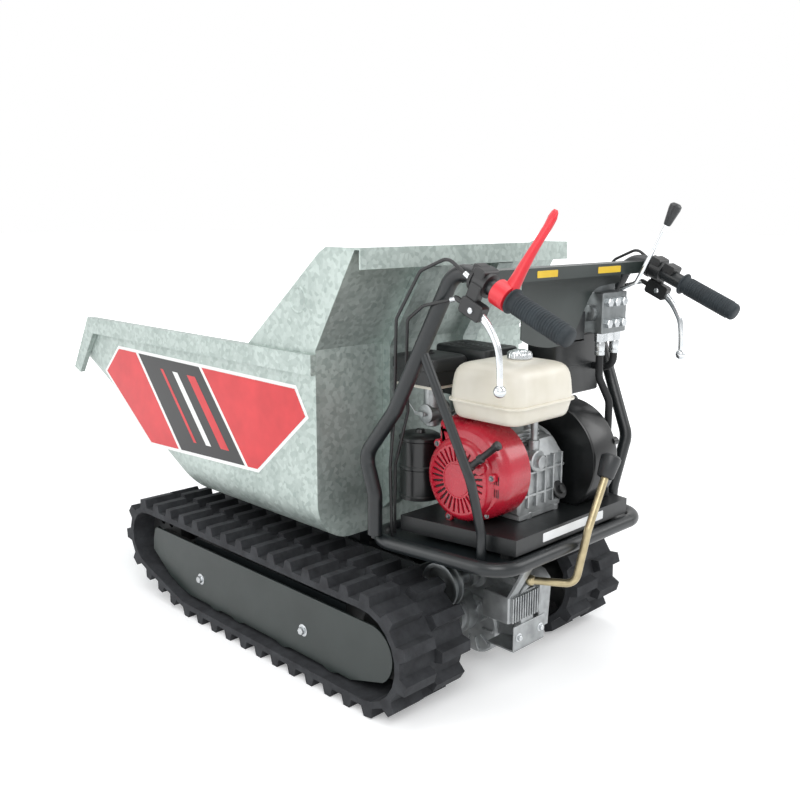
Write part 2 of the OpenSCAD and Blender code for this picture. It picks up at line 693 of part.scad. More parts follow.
// Where the bottom's plane and the front floor's plane would meet
skip_knee_x = skip_bend_x + skip_bend_r * tan(skip_slope / 2);
function slope_z(x) = skip_bottom_z + (x - skip_knee_x) * tan(skip_slope);
eye_w = 30;
module skip_underframe() color("#9aa2a3") {
    z = skip_bottom_z - seat;
    ear_y = tub_half_w - tub_t - 6;
    // Hinge ears under the front floor, running back along the bottom
    for (s = [-1, 1]) side_of(s) plate_y(ear_y - 8, ear_y) difference() {
        union() {
            translate([pivot_x, pivot_z]) circle(r = 26);
            polygon([[cyl_eye_x - 70, z], [skip_knee_x, z], [pivot_x + 50, slope_z(pivot_x + 50) - seat],
                [pivot_x + 26, pivot_z], [pivot_x - 26, pivot_z], [pivot_x - 60, z - 24],
                [cyl_eye_x - 70, z - 24]]);
        }
        translate([pivot_x, pivot_z]) circle(d = pivot_d + 2 * bore_gap);
    }
    // Cross member with the two cheeks and stub pins of the rod's eye
    translate([cyl_eye_x - 60, -ear_y, z - 5]) cube([60, 2 * ear_y, 5]);
    for (s = [-1, 1]) side_of(s) {
        y0 = eye_w / 2 + side_gap;
        plate_y(y0, y0 + 8) {
            translate([cyl_eye_x, cyl_eye_z]) circle(r = 22);
            polygon([[cyl_eye_x - 60, z], [cyl_eye_x + 22, z], [cyl_eye_x + 22, cyl_eye_z],
                [cyl_eye_x - 22, cyl_eye_z]]);
        }
        translate([cyl_eye_x, 0, cyl_eye_z]) rod_y(cyl_pin_d / 2, y0 + 1, y0 + 14);
    }
}

// Along the cylinder: u is the distance from the base pin
cyl_vec = [cyl_eye_x - cyl_base_x, cyl_eye_z - cyl_base_z];
cyl_len = norm(cyl_vec);
cyl_angle = atan2(cyl_vec[1], cyl_vec[0]);
module along_cylinder() translate([cyl_base_x, 0, cyl_base_z]) rotate([0, 90 - cyl_angle, 0]) children();

barrel_end = cyl_len - 75;
rod_start = 180;
module cylinder_barrel() color("#2b2f31") along_cylinder() difference() {
    union() {
        rod_y(22, -15, 15);
        translate([0, 0, 12]) cylinder(r = 14, h = 22);
        translate([0, 0, 30]) cylinder(r = barrel_d / 2, h = barrel_end - 30);
        translate([0, 0, barrel_end - 30]) cylinder(r = barrel_d / 2 + 3, h = 30);
    }
    rod_y(cyl_pin_d / 2 + bore_gap, -16, 16);
    translate([0, 0, 40]) cylinder(r = rod_d / 2 + bore_gap, h = barrel_end);
}

module cylinder_rod() color("#d0d3d5") along_cylinder() difference() {
    union() {
        translate([0, 0, rod_start]) cylinder(r = rod_d / 2, h = cyl_len - rod_start - 8);
        translate([0, 0, cyl_len]) rod_y(22, -eye_w / 2, eye_w / 2);
    }
    translate([0, 0, cyl_len]) rod_y(cyl_pin_d / 2 + bore_gap, -eye_w, eye_w);
}

track(1);  // track_left
track(-1);  // track_right
track_beam(1);  // track_beam_left
track_beam(-1);  // track_beam_right
side_plate(1);  // side_plate_left
side_plate(-1);  // side_plate_right
idler(1);  // idler_left
idler(-1);  // idler_right
sprocket(1);  // sprocket_left
sprocket(-1);  // sprocket_right
chassis_frame();
hinge_pin();
gearbox();
drive_pulley();
gear_lever();
platform();
engine_base();
engine_block();
recoil_cover();
starter_grip();
fuel_tank();
fuel_cap();
air_cleaner();
muffler_guard();
canister();
belt_guard();
handle(1, stay_d);  // handle_left
handle(-1, leg_d);  // handle_right
grip(1);  // grip_left
grip(-1);  // grip_right
control(1);  // control_left
control(-1);  // control_right
brake_lever(1);  // brake_lever_left
brake_lever(-1);  // brake_lever_right
stop_lever();
cross_panel();
hydraulic_valve();
tip_lever();
oil_tank();
skip_body();
skip_rim();
skip_ribs();
skip_underframe();
cylinder_barrel();
cylinder_rod();
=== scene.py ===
# %% [markdown]
# # A tracked mini dumper with a tipping skip
# The solids of this machine come packed from the CAD side. This notebook gives them the finish
# of the real one: galvanised sheet, rubber, powder coat, cast aluminium and moulded plastic.
# It then gives the engine, the gearbox and the controls their detailed shapes, and adds hoses,
# cables, bolts, a decal and labels.

import math

import bpy
import numpy as np
from mathutils import Matrix, Vector


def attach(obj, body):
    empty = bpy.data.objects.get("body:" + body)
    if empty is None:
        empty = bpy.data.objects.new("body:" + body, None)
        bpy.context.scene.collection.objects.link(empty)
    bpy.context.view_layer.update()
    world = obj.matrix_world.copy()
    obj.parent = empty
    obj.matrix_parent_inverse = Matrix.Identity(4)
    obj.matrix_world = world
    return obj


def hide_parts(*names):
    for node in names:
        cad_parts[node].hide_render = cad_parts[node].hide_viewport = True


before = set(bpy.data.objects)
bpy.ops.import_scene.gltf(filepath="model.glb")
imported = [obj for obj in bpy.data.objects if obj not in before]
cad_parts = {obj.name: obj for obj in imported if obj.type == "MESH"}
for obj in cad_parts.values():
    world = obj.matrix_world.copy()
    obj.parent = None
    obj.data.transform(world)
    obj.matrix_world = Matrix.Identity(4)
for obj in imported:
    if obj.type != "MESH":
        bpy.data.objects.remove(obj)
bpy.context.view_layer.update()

MM = 0.001
FORWARD, BACK, LEFT, RIGHT, UP = (1, 0, 0), (-1, 0, 0), (0, 1, 0), (0, -1, 0), (0, 0, 1)

# %% [markdown]
# ## The camera
# The picture was taken from the rear left, at about chest height. Its place was worked out from
# the machine's straight edges, so the camera is given by its axes rather than by eye.

# %% Camera
CAMERA_PLACE = (-1.642, 1.495, 0.980)
CAMERA_RIGHT = (-0.70406, -0.71013, 0.00312)
CAMERA_UP = (0.14307, -0.13754, 0.98011)
CAMERA_BACK = (-0.69558, 0.69050, 0.19844)
camera_data = bpy.data.cameras.new("camera")
camera_data.lens = 41.57
camera_data.sensor_width = 36.0
camera = bpy.data.objects.new("camera", camera_data)
bpy.context.scene.collection.objects.link(camera)
camera_axes = Matrix((CAMERA_RIGHT, CAMERA_UP, CAMERA_BACK)).transposed().to_4x4()
camera.matrix_world = Matrix.Translation(CAMERA_PLACE) @ camera_axes
bpy.context.scene.camera = camera
bpy.context.scene.view_settings.view_transform = "Standard"
print("camera lens", camera_data.lens)

# %% [markdown]
# ## Small helpers
# A material is a handful of nodes. One helper adds a node with its settings and links, and one
# turns a colour written as sRGB hex into the linear numbers that the shader wants. Two more start
# a material and give it colour, relief and gloss. The last one puts arrays of points and faces
# into a mesh. Patterns are measured in millimetres on the object, so they keep their real size.


# %% Helpers
def linear(hex_colour, alpha=1.0):
    """Each sRGB channel c becomes ((c + 0.055) / 1.055) ** 2.4, or c / 12.92 when it is small."""
    channels = [int(hex_colour[i : i + 2], 16) / 255 for i in (1, 3, 5)]
    return [
        c / 12.92 if c <= 0.04045 else ((c + 0.055) / 1.055) ** 2.4 for c in channels
    ] + [alpha]


def add(tree, kind, settings=None, inputs=None):
    """Adds a node, sets its own settings, and gives its inputs a value or a link from a socket."""
    node = tree.nodes.new(kind)
    for key, value in (settings or {}).items():
        setattr(node, key, value)
    for key, value in (inputs or {}).items():
        if isinstance(value, bpy.types.NodeSocket):
            tree.links.new(value, node.inputs[key])
        else:
            node.inputs[key].default_value = value
    return node


def finish(name, sockets, *fields):
    """A new material with one shader, whose plain sockets are set here, and for each field of
    (grain size in mm, detail, roughness) a noise. Returns its parts, place and noises too."""
    material = bpy.data.materials.new(name)
    material.use_nodes = True
    tree = material.node_tree
    shader = tree.nodes["Principled BSDF"]
    for key, value in sockets.items():
        shader.inputs[key].default_value = value
    place = add(tree, "ShaderNodeTexCoord").outputs["Object"]
    noises = []
    for size_mm, detail, rough in fields:
        inputs = {"Scale": 1.0 / (size_mm * MM), "Detail": detail, "Roughness": rough}
        node = add(tree, "ShaderNodeTexNoise", inputs={"Vector": place, **inputs})
        noises.append(node.outputs["Fac"])
    print("material", name)
    return material, tree, shader, place, noises


def layer(tree, shader, tones, relief, gloss=None):
    """Gives a shader its layers. tones is (field, place, hex, place, hex) and picks the colour,
    relief is (field, depth in mm, strength), and gloss (field, low, high) moves the roughness."""
    field, *stops = tones
    colours = add(tree, "ShaderNodeValToRGB", inputs={"Fac": field})
    for element, place, tone in zip(colours.color_ramp.elements, stops[::2], stops[1::2]):
        element.position, element.color = place, linear(tone)
    tree.links.new(colours.outputs["Color"], shader.inputs["Base Color"])
    field, depth_mm, strength = relief
    inputs = {"Height": field, "Distance": depth_mm * MM, "Strength": strength}
    bumps = add(tree, "ShaderNodeBump", inputs=inputs)
    tree.links.new(bumps.outputs["Normal"], shader.inputs["Normal"])
    if gloss:
        inputs = dict(zip(("Value", "To Min", "To Max"), gloss))
        spread = add(tree, "ShaderNodeMapRange", inputs=inputs)
        tree.links.new(spread.outputs["Result"], shader.inputs["Roughness"])


def outward(points, faces):
    """Turns all faces over if the closed surface's volume, the sum of a . (b x c) / 6 over the
    triangles of its faces, comes out below zero."""
    volume = 0.0
    for corners in {len(face) for face in faces}:
        ring = points[np.array([face for face in faces if len(face) == corners])]
        for k in range(1, corners - 1):
            cross = np.cross(ring[:, k], ring[:, k + 1])
            volume += (ring[:, 0] * cross).sum() / 6
    return [face[::-1] for face in faces] if volume < 0 else faces


def build(name, points, faces, body, material, replaces=(), crease=35):
    """Puts points (in mm) and faces into a mesh that rides on a body. Edges over crease degrees
    stay sharp."""
    points = np.asarray(points, float) * MM
    faces = outward(points, [list(map(int, face)) for face in faces])
    mesh = bpy.data.meshes.new(name)
    mesh.from_pydata(points.tolist(), [], faces)
    mesh.validate()
    mesh.update()
    mesh.shade_smooth()
    mesh.set_sharp_from_angle(angle=math.radians(crease))
    mesh.materials.append(material)
    piece = bpy.data.objects.new(name, mesh)
    bpy.context.scene.collection.objects.link(piece)
    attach(piece, body)
    if replaces:
        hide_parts(*replaces)
    print(name, len(faces), "faces")
    return piece


# %% [markdown]
# ## Floor and light
# The product picture has a white ground with a soft shadow. Large soft lamps light the machine
# at a plain level. The world shows white to the camera and to reflections only. So does the
# floor's glow, which is low beside the machine, for its shadow, and full from 3.2 m outwards.


# %% Floor and world
def eye_rays(tree):
    """1 where a camera ray, a mirror ray or a ray through glass looks, and 0 for others."""
    rays = add(tree, "ShaderNodeLightPath").outputs
    first = add(
        tree,
        "ShaderNodeMath",
        {"operation": "MAXIMUM"},
        {0: rays["Is Camera Ray"], 1: rays["Is Glossy Ray"]},
    ).outputs[0]
    return add(
        tree,
        "ShaderNodeMath",
        {"operation": "MAXIMUM"},
        {0: first, 1: rays["Is Transmission Ray"]},
    ).outputs[0]


world = bpy.data.worlds.new("studio")
bpy.context.scene.world = world
world.use_nodes = True
world_tree = world.node_tree
soft_light = world_tree.nodes["Background"]
soft_light.inputs["Color"].default_value = linear("#EEF1F4")
soft_light.inputs["Strength"].default_value = 0.55
bright = add(
    world_tree, "ShaderNodeBackground", inputs={"Color": (1, 1, 1, 1), "Strength": 1.0}
)
world_mix = add(
    world_tree,
    "ShaderNodeMixShader",
    inputs={0: eye_rays(world_tree), 1: soft_light.outputs[0], 2: bright.outputs[0]},
)
world_tree.links.new(
    world_mix.outputs[0], world_tree.nodes["World Output"].inputs["Surface"]
)

FLOOR_HALF = 40.0
FLOOR_GLOW = 0.28
GLOW_FROM, GLOW_TO = 1.1, 3.2
floor_corners = np.array([[-1, -1, 0], [1, -1, 0], [1, 1, 0], [-1, 1, 0]]) * FLOOR_HALF
floor_mesh = bpy.data.meshes.new("floor")
floor_mesh.from_pydata((floor_corners - [0, 0, 0.5 * MM]).tolist(), [], [[0, 1, 2, 3]])
floor = bpy.data.objects.new("floor", floor_mesh)
bpy.context.scene.collection.objects.link(floor)
floor_paint = bpy.data.materials.new("studio_floor")
floor_paint.use_nodes = True
floor_tree = floor_paint.node_tree
floor_shader = floor_tree.nodes["Principled BSDF"]
floor_shader.inputs["Base Color"].default_value = linear("#F4F4F4")
floor_shader.inputs["Roughness"].default_value = 0.9
floor_shader.inputs["Specular IOR Level"].default_value = 0.1
floor_shader.inputs["Emission Color"].default_value = (1, 1, 1, 1)
floor_place = add(floor_tree, "ShaderNodeTexCoord").outputs["Object"]
from_middle = add(
    floor_tree, "ShaderNodeVectorMath", {"operation": "LENGTH"}, {0: floor_place}
).outputs["Value"]
glow_by_distance = add(
    floor_tree,
    "ShaderNodeMapRange",
    inputs={
        "Value": from_middle,
        "From Min": GLOW_FROM,
        "From Max": GLOW_TO,
        "To Min": FLOOR_GLOW,
        "To Max": 1.0,
    },
).outputs["Result"]
glow = add(
    floor_tree,
    "ShaderNodeMath",
    {"operation": "MULTIPLY"},
    {0: eye_rays(floor_tree), 1: glow_by_distance},
).outputs[0]
floor_tree.links.new(glow, floor_shader.inputs["Emission Strength"])
floor_mesh.materials.append(floor_paint)
print("floor and world ready")

# %% [markdown]
# ## Lamps
# Four large square lamps stand round the machine, as softboxes do in a studio. The key stands
# behind it on the left, like the sun in the picture. Large ones are chosen for soft shadow edges.


# %% Lamps
def lamp(name, place, aim, size, power):
    """A square soft lamp at place, turned to aim."""
    data = bpy.data.lights.new(name, "AREA")
    data.shape = "SQUARE"
    data.size = size
    data.energy = power
    holder = bpy.data.objects.new(name, data)
    bpy.context.scene.collection.objects.link(holder)
    holder.location = place
    direction = Vector(aim) - Vector(place)
    holder.rotation_euler = direction.to_track_quat("-Z", "Y").to_euler()
    return holder


lamp("key", (-2.6, 2.2, 3.2), (0, 0, 0.4), 2.4, 84)
lamp("fill", (1.5, 3.4, 2.0), (0, 0, 0.4), 2.6, 46)
lamp("rim", (-2.4, -2.2, 2.6), (0, 0, 0.5), 2.2, 44)
lamp("top", (0.2, 0.0, 3.6), (0, 0, 0.3), 2.6, 40)

# %% [markdown]
# ## Galvanised sheet
# The skip is steel sheet dipped in zinc. Zinc sets in flat crystals a few millimetres across,
# each a slightly different grey, with a cool green cast. Voronoi cells give these spangles.


# %% Galvanised steel
def galvanised_steel(name, light, dark):
    """Hot-dip zinc on steel: grey crystals, cloudy patches and a soft metal sheen."""
    sockets = {"Metallic": 0.55, "Roughness": 0.42}
    material, tree, shader, place, (cloud,) = finish(name, sockets, (120, 4, 0.5))
    inputs = {"Vector": place, "Scale": 1.0 / (9 * MM), "Randomness": 1.0}
    cells = add(tree, "ShaderNodeTexVoronoi", inputs=inputs).outputs["Color"]
    grey = add(tree, "ShaderNodeSeparateColor", inputs={"Color": cells}).outputs[0]
    inputs = {"Factor": 0.62, "A": grey, "B": cloud}
    mixed = add(tree, "ShaderNodeMix", {"data_type": "FLOAT"}, inputs).outputs[0]
    tones = (mixed, 0.25, dark, 0.72, light)
    layer(tree, shader, tones, (cloud, 0.6, 0.35), (mixed, 0.34, 0.52))
    return material


skip_zinc = galvanised_steel("galvanised_steel_sheet", "#B9C4BF", "#97A39E")
rib_zinc = galvanised_steel("galvanised_steel_channel", "#AEB9B5", "#8B9793")

# %% [markdown]
# ## Rubber
# Track rubber is cured in a mould and then dragged through dust. It is near black, dull, and has
# a fine grain; lug tops go grey where they wear.


# %% Rubber
def moulded_rubber(name, dark, light, grain_mm, rough):
    """Vulcanised rubber: matt, with a fine mould grain and pale dust."""
    sockets = {"Roughness": rough, "Specular IOR Level": 0.35}
    fields = (38, 5, 0.65), (grain_mm, 3, 0.5)
    material, tree, shader, _, (dust, grain) = finish(name, sockets, *fields)
    layer(tree, shader, (dust, 0.35, dark, 0.75, light), (grain, 0.25, 0.5))
    return material


track_rubber = moulded_rubber("track_rubber", "#26272A", "#3C3E41", 2.0, 0.78)
grip_rubber = moulded_rubber("grip_rubber", "#20262A", "#2D353A", 1.2, 0.62)
hose_rubber = moulded_rubber("hose_rubber", "#151617", "#202224", 1.0, 0.55)

# %% [markdown]
# ## Powder coat
# Frame and plates are powder coated. The powder melts into a skin with a faint orange peel, a
# ripple of about two millimetres, and a satin gloss.


# %% Powder coat
def powder_coat(name, dark, light, rough, peel_mm=2.2, coat=0.0):
    """Baked powder paint: an even colour with a slight drift, and orange peel in the gloss."""
    sockets = {"Roughness": rough, "Coat Weight": coat, "Coat Roughness": 0.12}
    fields = (90, 3, 0.5), (14, 4, 0.5), (peel_mm, 2, 0.5)
    material, tree, shader, _, (drift, patch, peel) = finish(name, sockets, *fields)
    gloss = (patch, rough - 0.05, rough + 0.07)
    layer(tree, shader, (drift, 0.3, dark, 0.7, light), (peel, 0.12, 0.35), gloss)
    return material


plate_coat = powder_coat("side_plate_coat", "#232B29", "#2C3432", 0.34)
frame_coat = powder_coat("frame_coat", "#1D2325", "#242A2C", 0.4)
black_coat = powder_coat("black_coat", "#141617", "#1E2122", 0.36)
bar_coat = powder_coat("handlebar_coat", "#15181A", "#1B2022", 0.33)
red_coat = powder_coat("red_cover_coat", "#A60F26", "#BE1631", 0.26, 3.0, 0.4)
red_plastic = powder_coat("red_lever_plastic", "#D1202C", "#E23540", 0.35, 1.2)
drum_coat = powder_coat("sprocket_coat", "#2B2D2E", "#3A3B3A", 0.5)

# %% [markdown]
# ## Bare metal
# Castings keep the grain of their mould and are duller than machined steel. Plated parts are
# smooth and bright. Each gets its own roughness; the colour alone would not tell them apart. Sand
# grain is about 0.4 mm across, too fine for this picture, so it is drawn at 1.4 mm.


# %% Metals
def metal(name, dark, light, rough, grain_mm, depth_mm):
    """A bare or plated metal with a grain of its own size and a drift in its gloss."""
    sockets = {"Metallic": 0.9, "Roughness": rough}
    fields = (26, 4, 0.5), (grain_mm, 3, 0.5)
    material, tree, shader, _, (patch, grain) = finish(name, sockets, *fields)
    gloss = (patch, rough - 0.06, rough + 0.08)
    layer(tree, shader, (patch, 0.3, dark, 0.7, light), (grain, depth_mm, 0.5), gloss)
    return material


cast_aluminium = metal("sand_cast_aluminium", "#8F9293", "#B2B5B6", 0.46, 1.4, 0.3)
pin_steel = metal("turned_steel", "#8B8E90", "#A9ACAE", 0.3, 3.0, 0.05)
bright_zinc = metal("bright_zinc_plate", "#B9BDBF", "#D3D6D8", 0.24, 4.0, 0.05)
lever_chrome = metal("polished_lever_alloy", "#C4C8CB", "#E2E5E7", 0.14, 6.0, 0.03)
yellow_zinc = metal("yellow_passivated_steel", "#9B8F72", "#B9AC8A", 0.34, 3.0, 0.06)
dull_steel = metal("dull_zinc_steel", "#6E7273", "#8A8E8F", 0.42, 2.0, 0.1)

# %% [markdown]
# ## Plastics
# The fuel tank is off-white polyethylene or painted sheet with a soft gloss. Covers and housings
# are black nylon or polypropylene with a fine leather-like grain from the mould, drawn here at
# about 1 mm, twice its real size, so that it shows.


# %% Plastics
def moulded_plastic(name, dark, light, rough, grain_mm, depth_mm):
    """Injection-moulded plastic: even colour, small grain, soft gloss."""
    fields = (60, 2, 0.5), (grain_mm, 2, 0.5)
    material, tree, shader, _, (drift, grain) = finish(name, {"Roughness": rough}, *fields)
    layer(tree, shader, (drift, 0.3, dark, 0.7, light), (grain, depth_mm, 0.4))
    return material


tank_paint = moulded_plastic("tank_off_white", "#DCD6C6", "#E8E3D6", 0.3, 5.0, 0.06)
black_plastic = moulded_plastic("black_polypropylene", "#161718", "#202122", 0.42, 0.9, 0.12)
knob_plastic = moulded_plastic("knob_plastic", "#1B1D1F", "#2C2F31", 0.4, 1.2, 0.08)
guard_plastic = moulded_plastic("guard_enamel", "#0E0F10", "#17191A", 0.28, 2.4, 0.08)

# %% [markdown]
# ## Dressing the solids
# Each solid gets the finish of the real piece. A table from finish to node names keeps this short;
# a name without its side stands for both sides.

# %% Finish table
FINISHES = [
    (skip_zinc, "skip_body skip_rim"),
    (rib_zinc, "skip_ribs skip_underframe"),
    (track_rubber, "track"),
    (frame_coat, "track_beam chassis_frame"),
    (plate_coat, "side_plate cross_panel"),
    (drum_coat, "idler sprocket"),
    (pin_steel, "hinge_pin"),
    (cast_aluminium, "gearbox engine_block"),
    (dull_steel, "drive_pulley hydraulic_valve"),
    (yellow_zinc, "gear_lever"),
    (bar_coat, "platform handle"),
    (black_coat, "engine_base muffler_guard oil_tank cylinder_barrel"),
    (red_coat, "recoil_cover"),
    (black_plastic, "starter_grip air_cleaner control"),
    (tank_paint, "fuel_tank"),
    (bright_zinc, "fuel_cap"),
    (guard_plastic, "canister belt_guard"),
    (grip_rubber, "grip"),
    (lever_chrome, "brake_lever tip_lever cylinder_rod"),
    (red_plastic, "stop_lever"),
]
finish_of = {name: coat for coat, names in FINISHES for name in names.split()}
undressed = []
for node_name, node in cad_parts.items():
    stem = node_name.replace("_left", "").replace("_right", "")
    coat = finish_of.get(node_name) or finish_of.get(stem)
    if coat is None:
        undressed.append(node_name)
        continue
    node.data.materials.clear()
    node.data.materials.append(coat)
print("nodes without a finish", undressed)

# %% [markdown]
# ## Surfaces from formulas
# The pieces are turned, swept, cut from sheet or stacked from level curves. A lathe turns a
# profile about an axis, a sweep carries an oval along a path, a plate gives an outline a
# thickness with a narrow bevel, and a stack joins one outline to the next above it.


# %% Lathe, sweep, plate and stack
def strip_faces(rows, columns, hoop=False):
    """Quads between row i and i + 1 of a grid whose columns close on themselves. The two end rows
    are capped, or in a hoop the last row joins the first."""
    i, j = np.meshgrid(np.arange(rows if hoop else rows - 1), np.arange(columns), indexing="ij")
    near, far = i * columns, (i + 1) % rows * columns
    after = (j + 1) % columns
    quads = np.stack([near + j, near + after, far + after, far + j], axis=-1)
    ends = [list(range(columns))[::-1], list(range((rows - 1) * columns, rows * columns))]
    return quads.reshape(-1, 4).tolist() + ([] if hoop else ends)


def across(axis):
    """Two unit vectors at right angles to an axis and to each other."""
    axis = np.asarray(axis, float) / np.linalg.norm(axis)
    helper = np.array([0.0, 0, 1]) if abs(axis[2]) < 0.9 else np.array([1.0, 0, 0])
    u = np.cross(helper, axis)
    u /= np.linalg.norm(u)
    return axis, u, np.cross(axis, u)


def lathe(profile, foot, axis, sides=32, hoop=False, lobes=0, lobe_depth=0.0):
    """Turned piece: point = foot + h * axis + r * (cos a * u + sin a * v) for each (h, r), where
    lobes make r swell by r * lobe_depth * cos(lobes * a)."""
    axis, u, v = across(axis)
    h, r = np.asarray(profile, float).T
    a = np.arange(sides) * 2 * np.pi / sides
    circle = np.cos(a)[:, None] * u + np.sin(a)[:, None] * v
    circle = circle * (1 + lobe_depth * np.cos(lobes * a))[:, None] if lobes else circle
    points = np.asarray(foot) + h[:, None, None] * axis + r[:, None, None] * circle
    return points.reshape(-1, 3), strip_faces(len(h), sides, hoop)


def smooth_path(knots, count):
    """Curve through the knots. Between P1 and P2, with s from 0 to 1, the point is half of
    2 P1 + (P2 - P0) s + (2 P0 - 5 P1 + 4 P2 - P3) s^2 + (3 P1 - P0 - 3 P2 + P3) s^3."""
    p = np.asarray(knots, float)
    p = np.vstack([2 * p[0] - p[1], p, 2 * p[-1] - p[-2]])
    t = np.linspace(0, len(p) - 3, count)
    k = np.minimum(t.astype(int), len(p) - 4)
    s = (t - k)[:, None]
    p0, p1, p2, p3 = p[k], p[k + 1], p[k + 2], p[k + 3]
    cubic = (3 * p1 - p0 - 3 * p2 + p3) * s**3
    return 0.5 * (2 * p1 + (p2 - p0) * s + (2 * p0 - 5 * p1 + 4 * p2 - p3) * s**2 + cubic)


def sweep(path, wide, thick, flat_side, sides=20):
    """Oval carried along a path: point = P + wide * cos a * N + thick * sin a * B, where N is at
    right angles to the path and to flat_side, and B to both the path and N."""
    tangent = np.gradient(path, axis=0)
    tangent /= np.linalg.norm(tangent, axis=1)[:, None]
    n = np.cross(np.asarray(flat_side, float), tangent)
    n /= np.linalg.norm(n, axis=1)[:, None]
    b = np.cross(tangent, n)
    a = np.arange(sides) * 2 * np.pi / sides
    wide = np.broadcast_to(wide, len(path))[:, None, None]
    thick = np.broadcast_to(thick, len(path))[:, None, None]
    ring = wide * np.cos(a)[
        None, :, None
    ] * n[:, None] + thick * np.sin(a)[None, :, None] * b[:, None]
    return (path[:, None] + ring).reshape(-1, 3), strip_faces(len(path), sides)


def bent_path(knots, bend, arc_points=8):
    """Straight runs joined by arcs: at a knot where the path turns by 2 h, the arc of radius bend
    starts bend * tan h before it, and its point is C - s bend cos t + a bend sin t."""
    knots = np.asarray(knots, float)
    rows = [knots[:1]]
    for before, corner, after in zip(knots, knots[1:], knots[2:]):
        a = (corner - before) / np.linalg.norm(corner - before)
        b = (after - corner) / np.linalg.norm(after - corner)
        half = np.arccos(np.clip(a @ b, -1, 1)) / 2
        inner = (b - a * (a @ b)) / np.linalg.norm(b - a * (a @ b))
        centre = corner - a * bend * np.tan(half) + inner * bend
        t = np.linspace(0, 2 * half, arc_points)[:, None]
        rows.append(centre - inner * bend * np.cos(t) + a * bend * np.sin(t))
    return np.vstack(rows + [knots[-1:]])


def tube(knots, bend, r, sides=18):
    """Round bar along a bent path. The oval's flat side is the direction that the path turns to
    least, which is the last row of the singular value decomposition of its tangents."""
    path = bent_path(knots, bend)
    least = np.linalg.svd(np.gradient(path, axis=0))[2][-1]
    return sweep(path, r, r, least, sides)


def inset(outline, distance):
    """Moves each side of an outline inwards by distance and meets the neighbours again."""
    p = np.asarray(outline, float)
    along = np.roll(p, -1, axis=0) - p
    along /= np.linalg.norm(along, axis=1)[:, None]
    x, y = p.T
    turn = np.sign((x * np.roll(y, -1) - np.roll(x, -1) * y).sum())
    side = np.stack([-along[:, 1], along[:, 0]], axis=1) * turn
    before, side_before = np.roll(along, 1, axis=0), np.roll(side, 1, axis=0)
    gap = (side - side_before) * distance
    cross = before[:, 0] * along[:, 1] - before[:, 1] * along[:, 0]
    straight = np.abs(cross) < 1e-6
    step = np.where(
        straight, 0, (gap[:, 0] * along[:, 1] - gap[:, 1] * along[:, 0]) / np.where(straight, 1,
                                        cross)
    )
    return p + side_before * distance + before * step[:, None]


def arc(x, z, r, start, end, count):
    """Points of a circle from one angle in degrees to another."""
    a = np.radians(np.linspace(start, end, count))
    return np.stack([x + r * np.cos(a), z + r * np.sin(a)], axis=1)


def room(x0, x1, y0, y1, r, steps=6):
    """Rectangle with round corners: corner centre plus r * (cos a, sin a), a quarter turn each."""
    centres = [(x1 - r, y1 - r), (x0 + r, y1 - r), (x0 + r, y0 + r), (x1 - r, y0 + r)]
    return np.vstack(
        [arc(x, y, r, 90 * k, 90 * k + 90, steps) for k, (x, y) in enumerate(centres)]
    )


def rounded(width, height, r):
    """The same round-cornered rectangle, centred on zero."""
    return room(-width / 2, width / 2, -height / 2, height / 2, r)


def ball(r, start, count):
    """Lathe profile of a ball: (-r cos a, r sin a) from a = start to a = pi - start."""
    a = np.linspace(start, np.pi - start, count)
    return np.stack([-r * np.cos(a), r * np.sin(a)], axis=1)


def stack(levels):
    """Body from level curves: each level is a height and an outline in x and y."""
    points = [np.column_stack([outline, np.full(len(outline), z)]) for z, outline in levels]
    return np.vstack(points), strip_faces(len(levels), len(levels[0][1]))


def block(x0, x1, y0, y1, z0, z1, r=2.0, edge=0.8):
    """Cast or folded block: round upright corners, and edge wide bevels at both ends."""
    wall = room(x0, x1, y0, y1, r)
    small = room(x0 + edge, x1 - edge, y0 + edge, y1 - edge, max(r - edge, 0.4))
    return stack([(z0, small), (z0 + edge, wall), (z1 - edge, wall), (z1, small)])


def slab(outline, y0, y1, bevel=1.0):
    """Side view outline in x and z, made thick from y0 to y1 with a bevel at both ends."""
    levels = [(y0, bevel), (y0 + bevel, 0), (y1 - bevel, 0), (y1, bevel)]
    return layered(outline, levels)


def layered(outline, levels):
    """Side view outline whose level (y, d) is the outline moved inwards by d at that y."""
    rings = [(y, inset(outline, d) if d else np.asarray(outline, float)) for y, d in levels]
    points = [
        np.column_stack([ring[:, 0], np.full(len(ring), y), ring[:, 1]]) for y, ring in rings
    ]
    return np.vstack(points), strip_faces(len(rings), len(outline))


def plate(outline, foot, u, v, thick, bevel):
    """Sheet piece: outline points (a, b) become foot + a * u + b * v, then rise by thick along
    u x v with the last bevel of the height drawn in by bevel."""
    u, v = np.asarray(u, float), np.asarray(v, float)
    w = np.cross(u, v)
    rings = [(outline, 0), (outline, thick - bevel), (inset(outline, bevel), thick)]
    points = [
        np.asarray(foot) + np.asarray(o)[:, :1] * u + np.asarray(o)[:, 1:] * v + h * w
        for o, h in rings
    ]
    return np.vstack(points), strip_faces(3, len(outline))


def together(parts):
    """Joins several (points, faces) into one mesh's arrays."""
    starts = np.cumsum([0] + [len(points) for points, _ in parts])
    faces = [[i + start for i in face] for start, (_, part) in zip(starts, parts) for face in part]
    return np.vstack([points for points, _ in parts]), faces


def on_chassis(name, parts, material, node=None, crease=35):
    """Builds parts as one chassis piece, in place of a node if one is named."""
    replaces = (node,) if node else ()
    return build(name, *together(parts), "chassis", material, replaces, crease)


SIDES = (("left", 1), ("right", -1))
CRANK = np.array([-490.0, 0, 470])


def round_crank(r, y, degrees):
    """A place at radius r and at an angle about the crankshaft, at the given y."""
    return CRANK + (r * math.cos(math.radians(degrees)), y, r * math.sin(math.radians(degrees)))


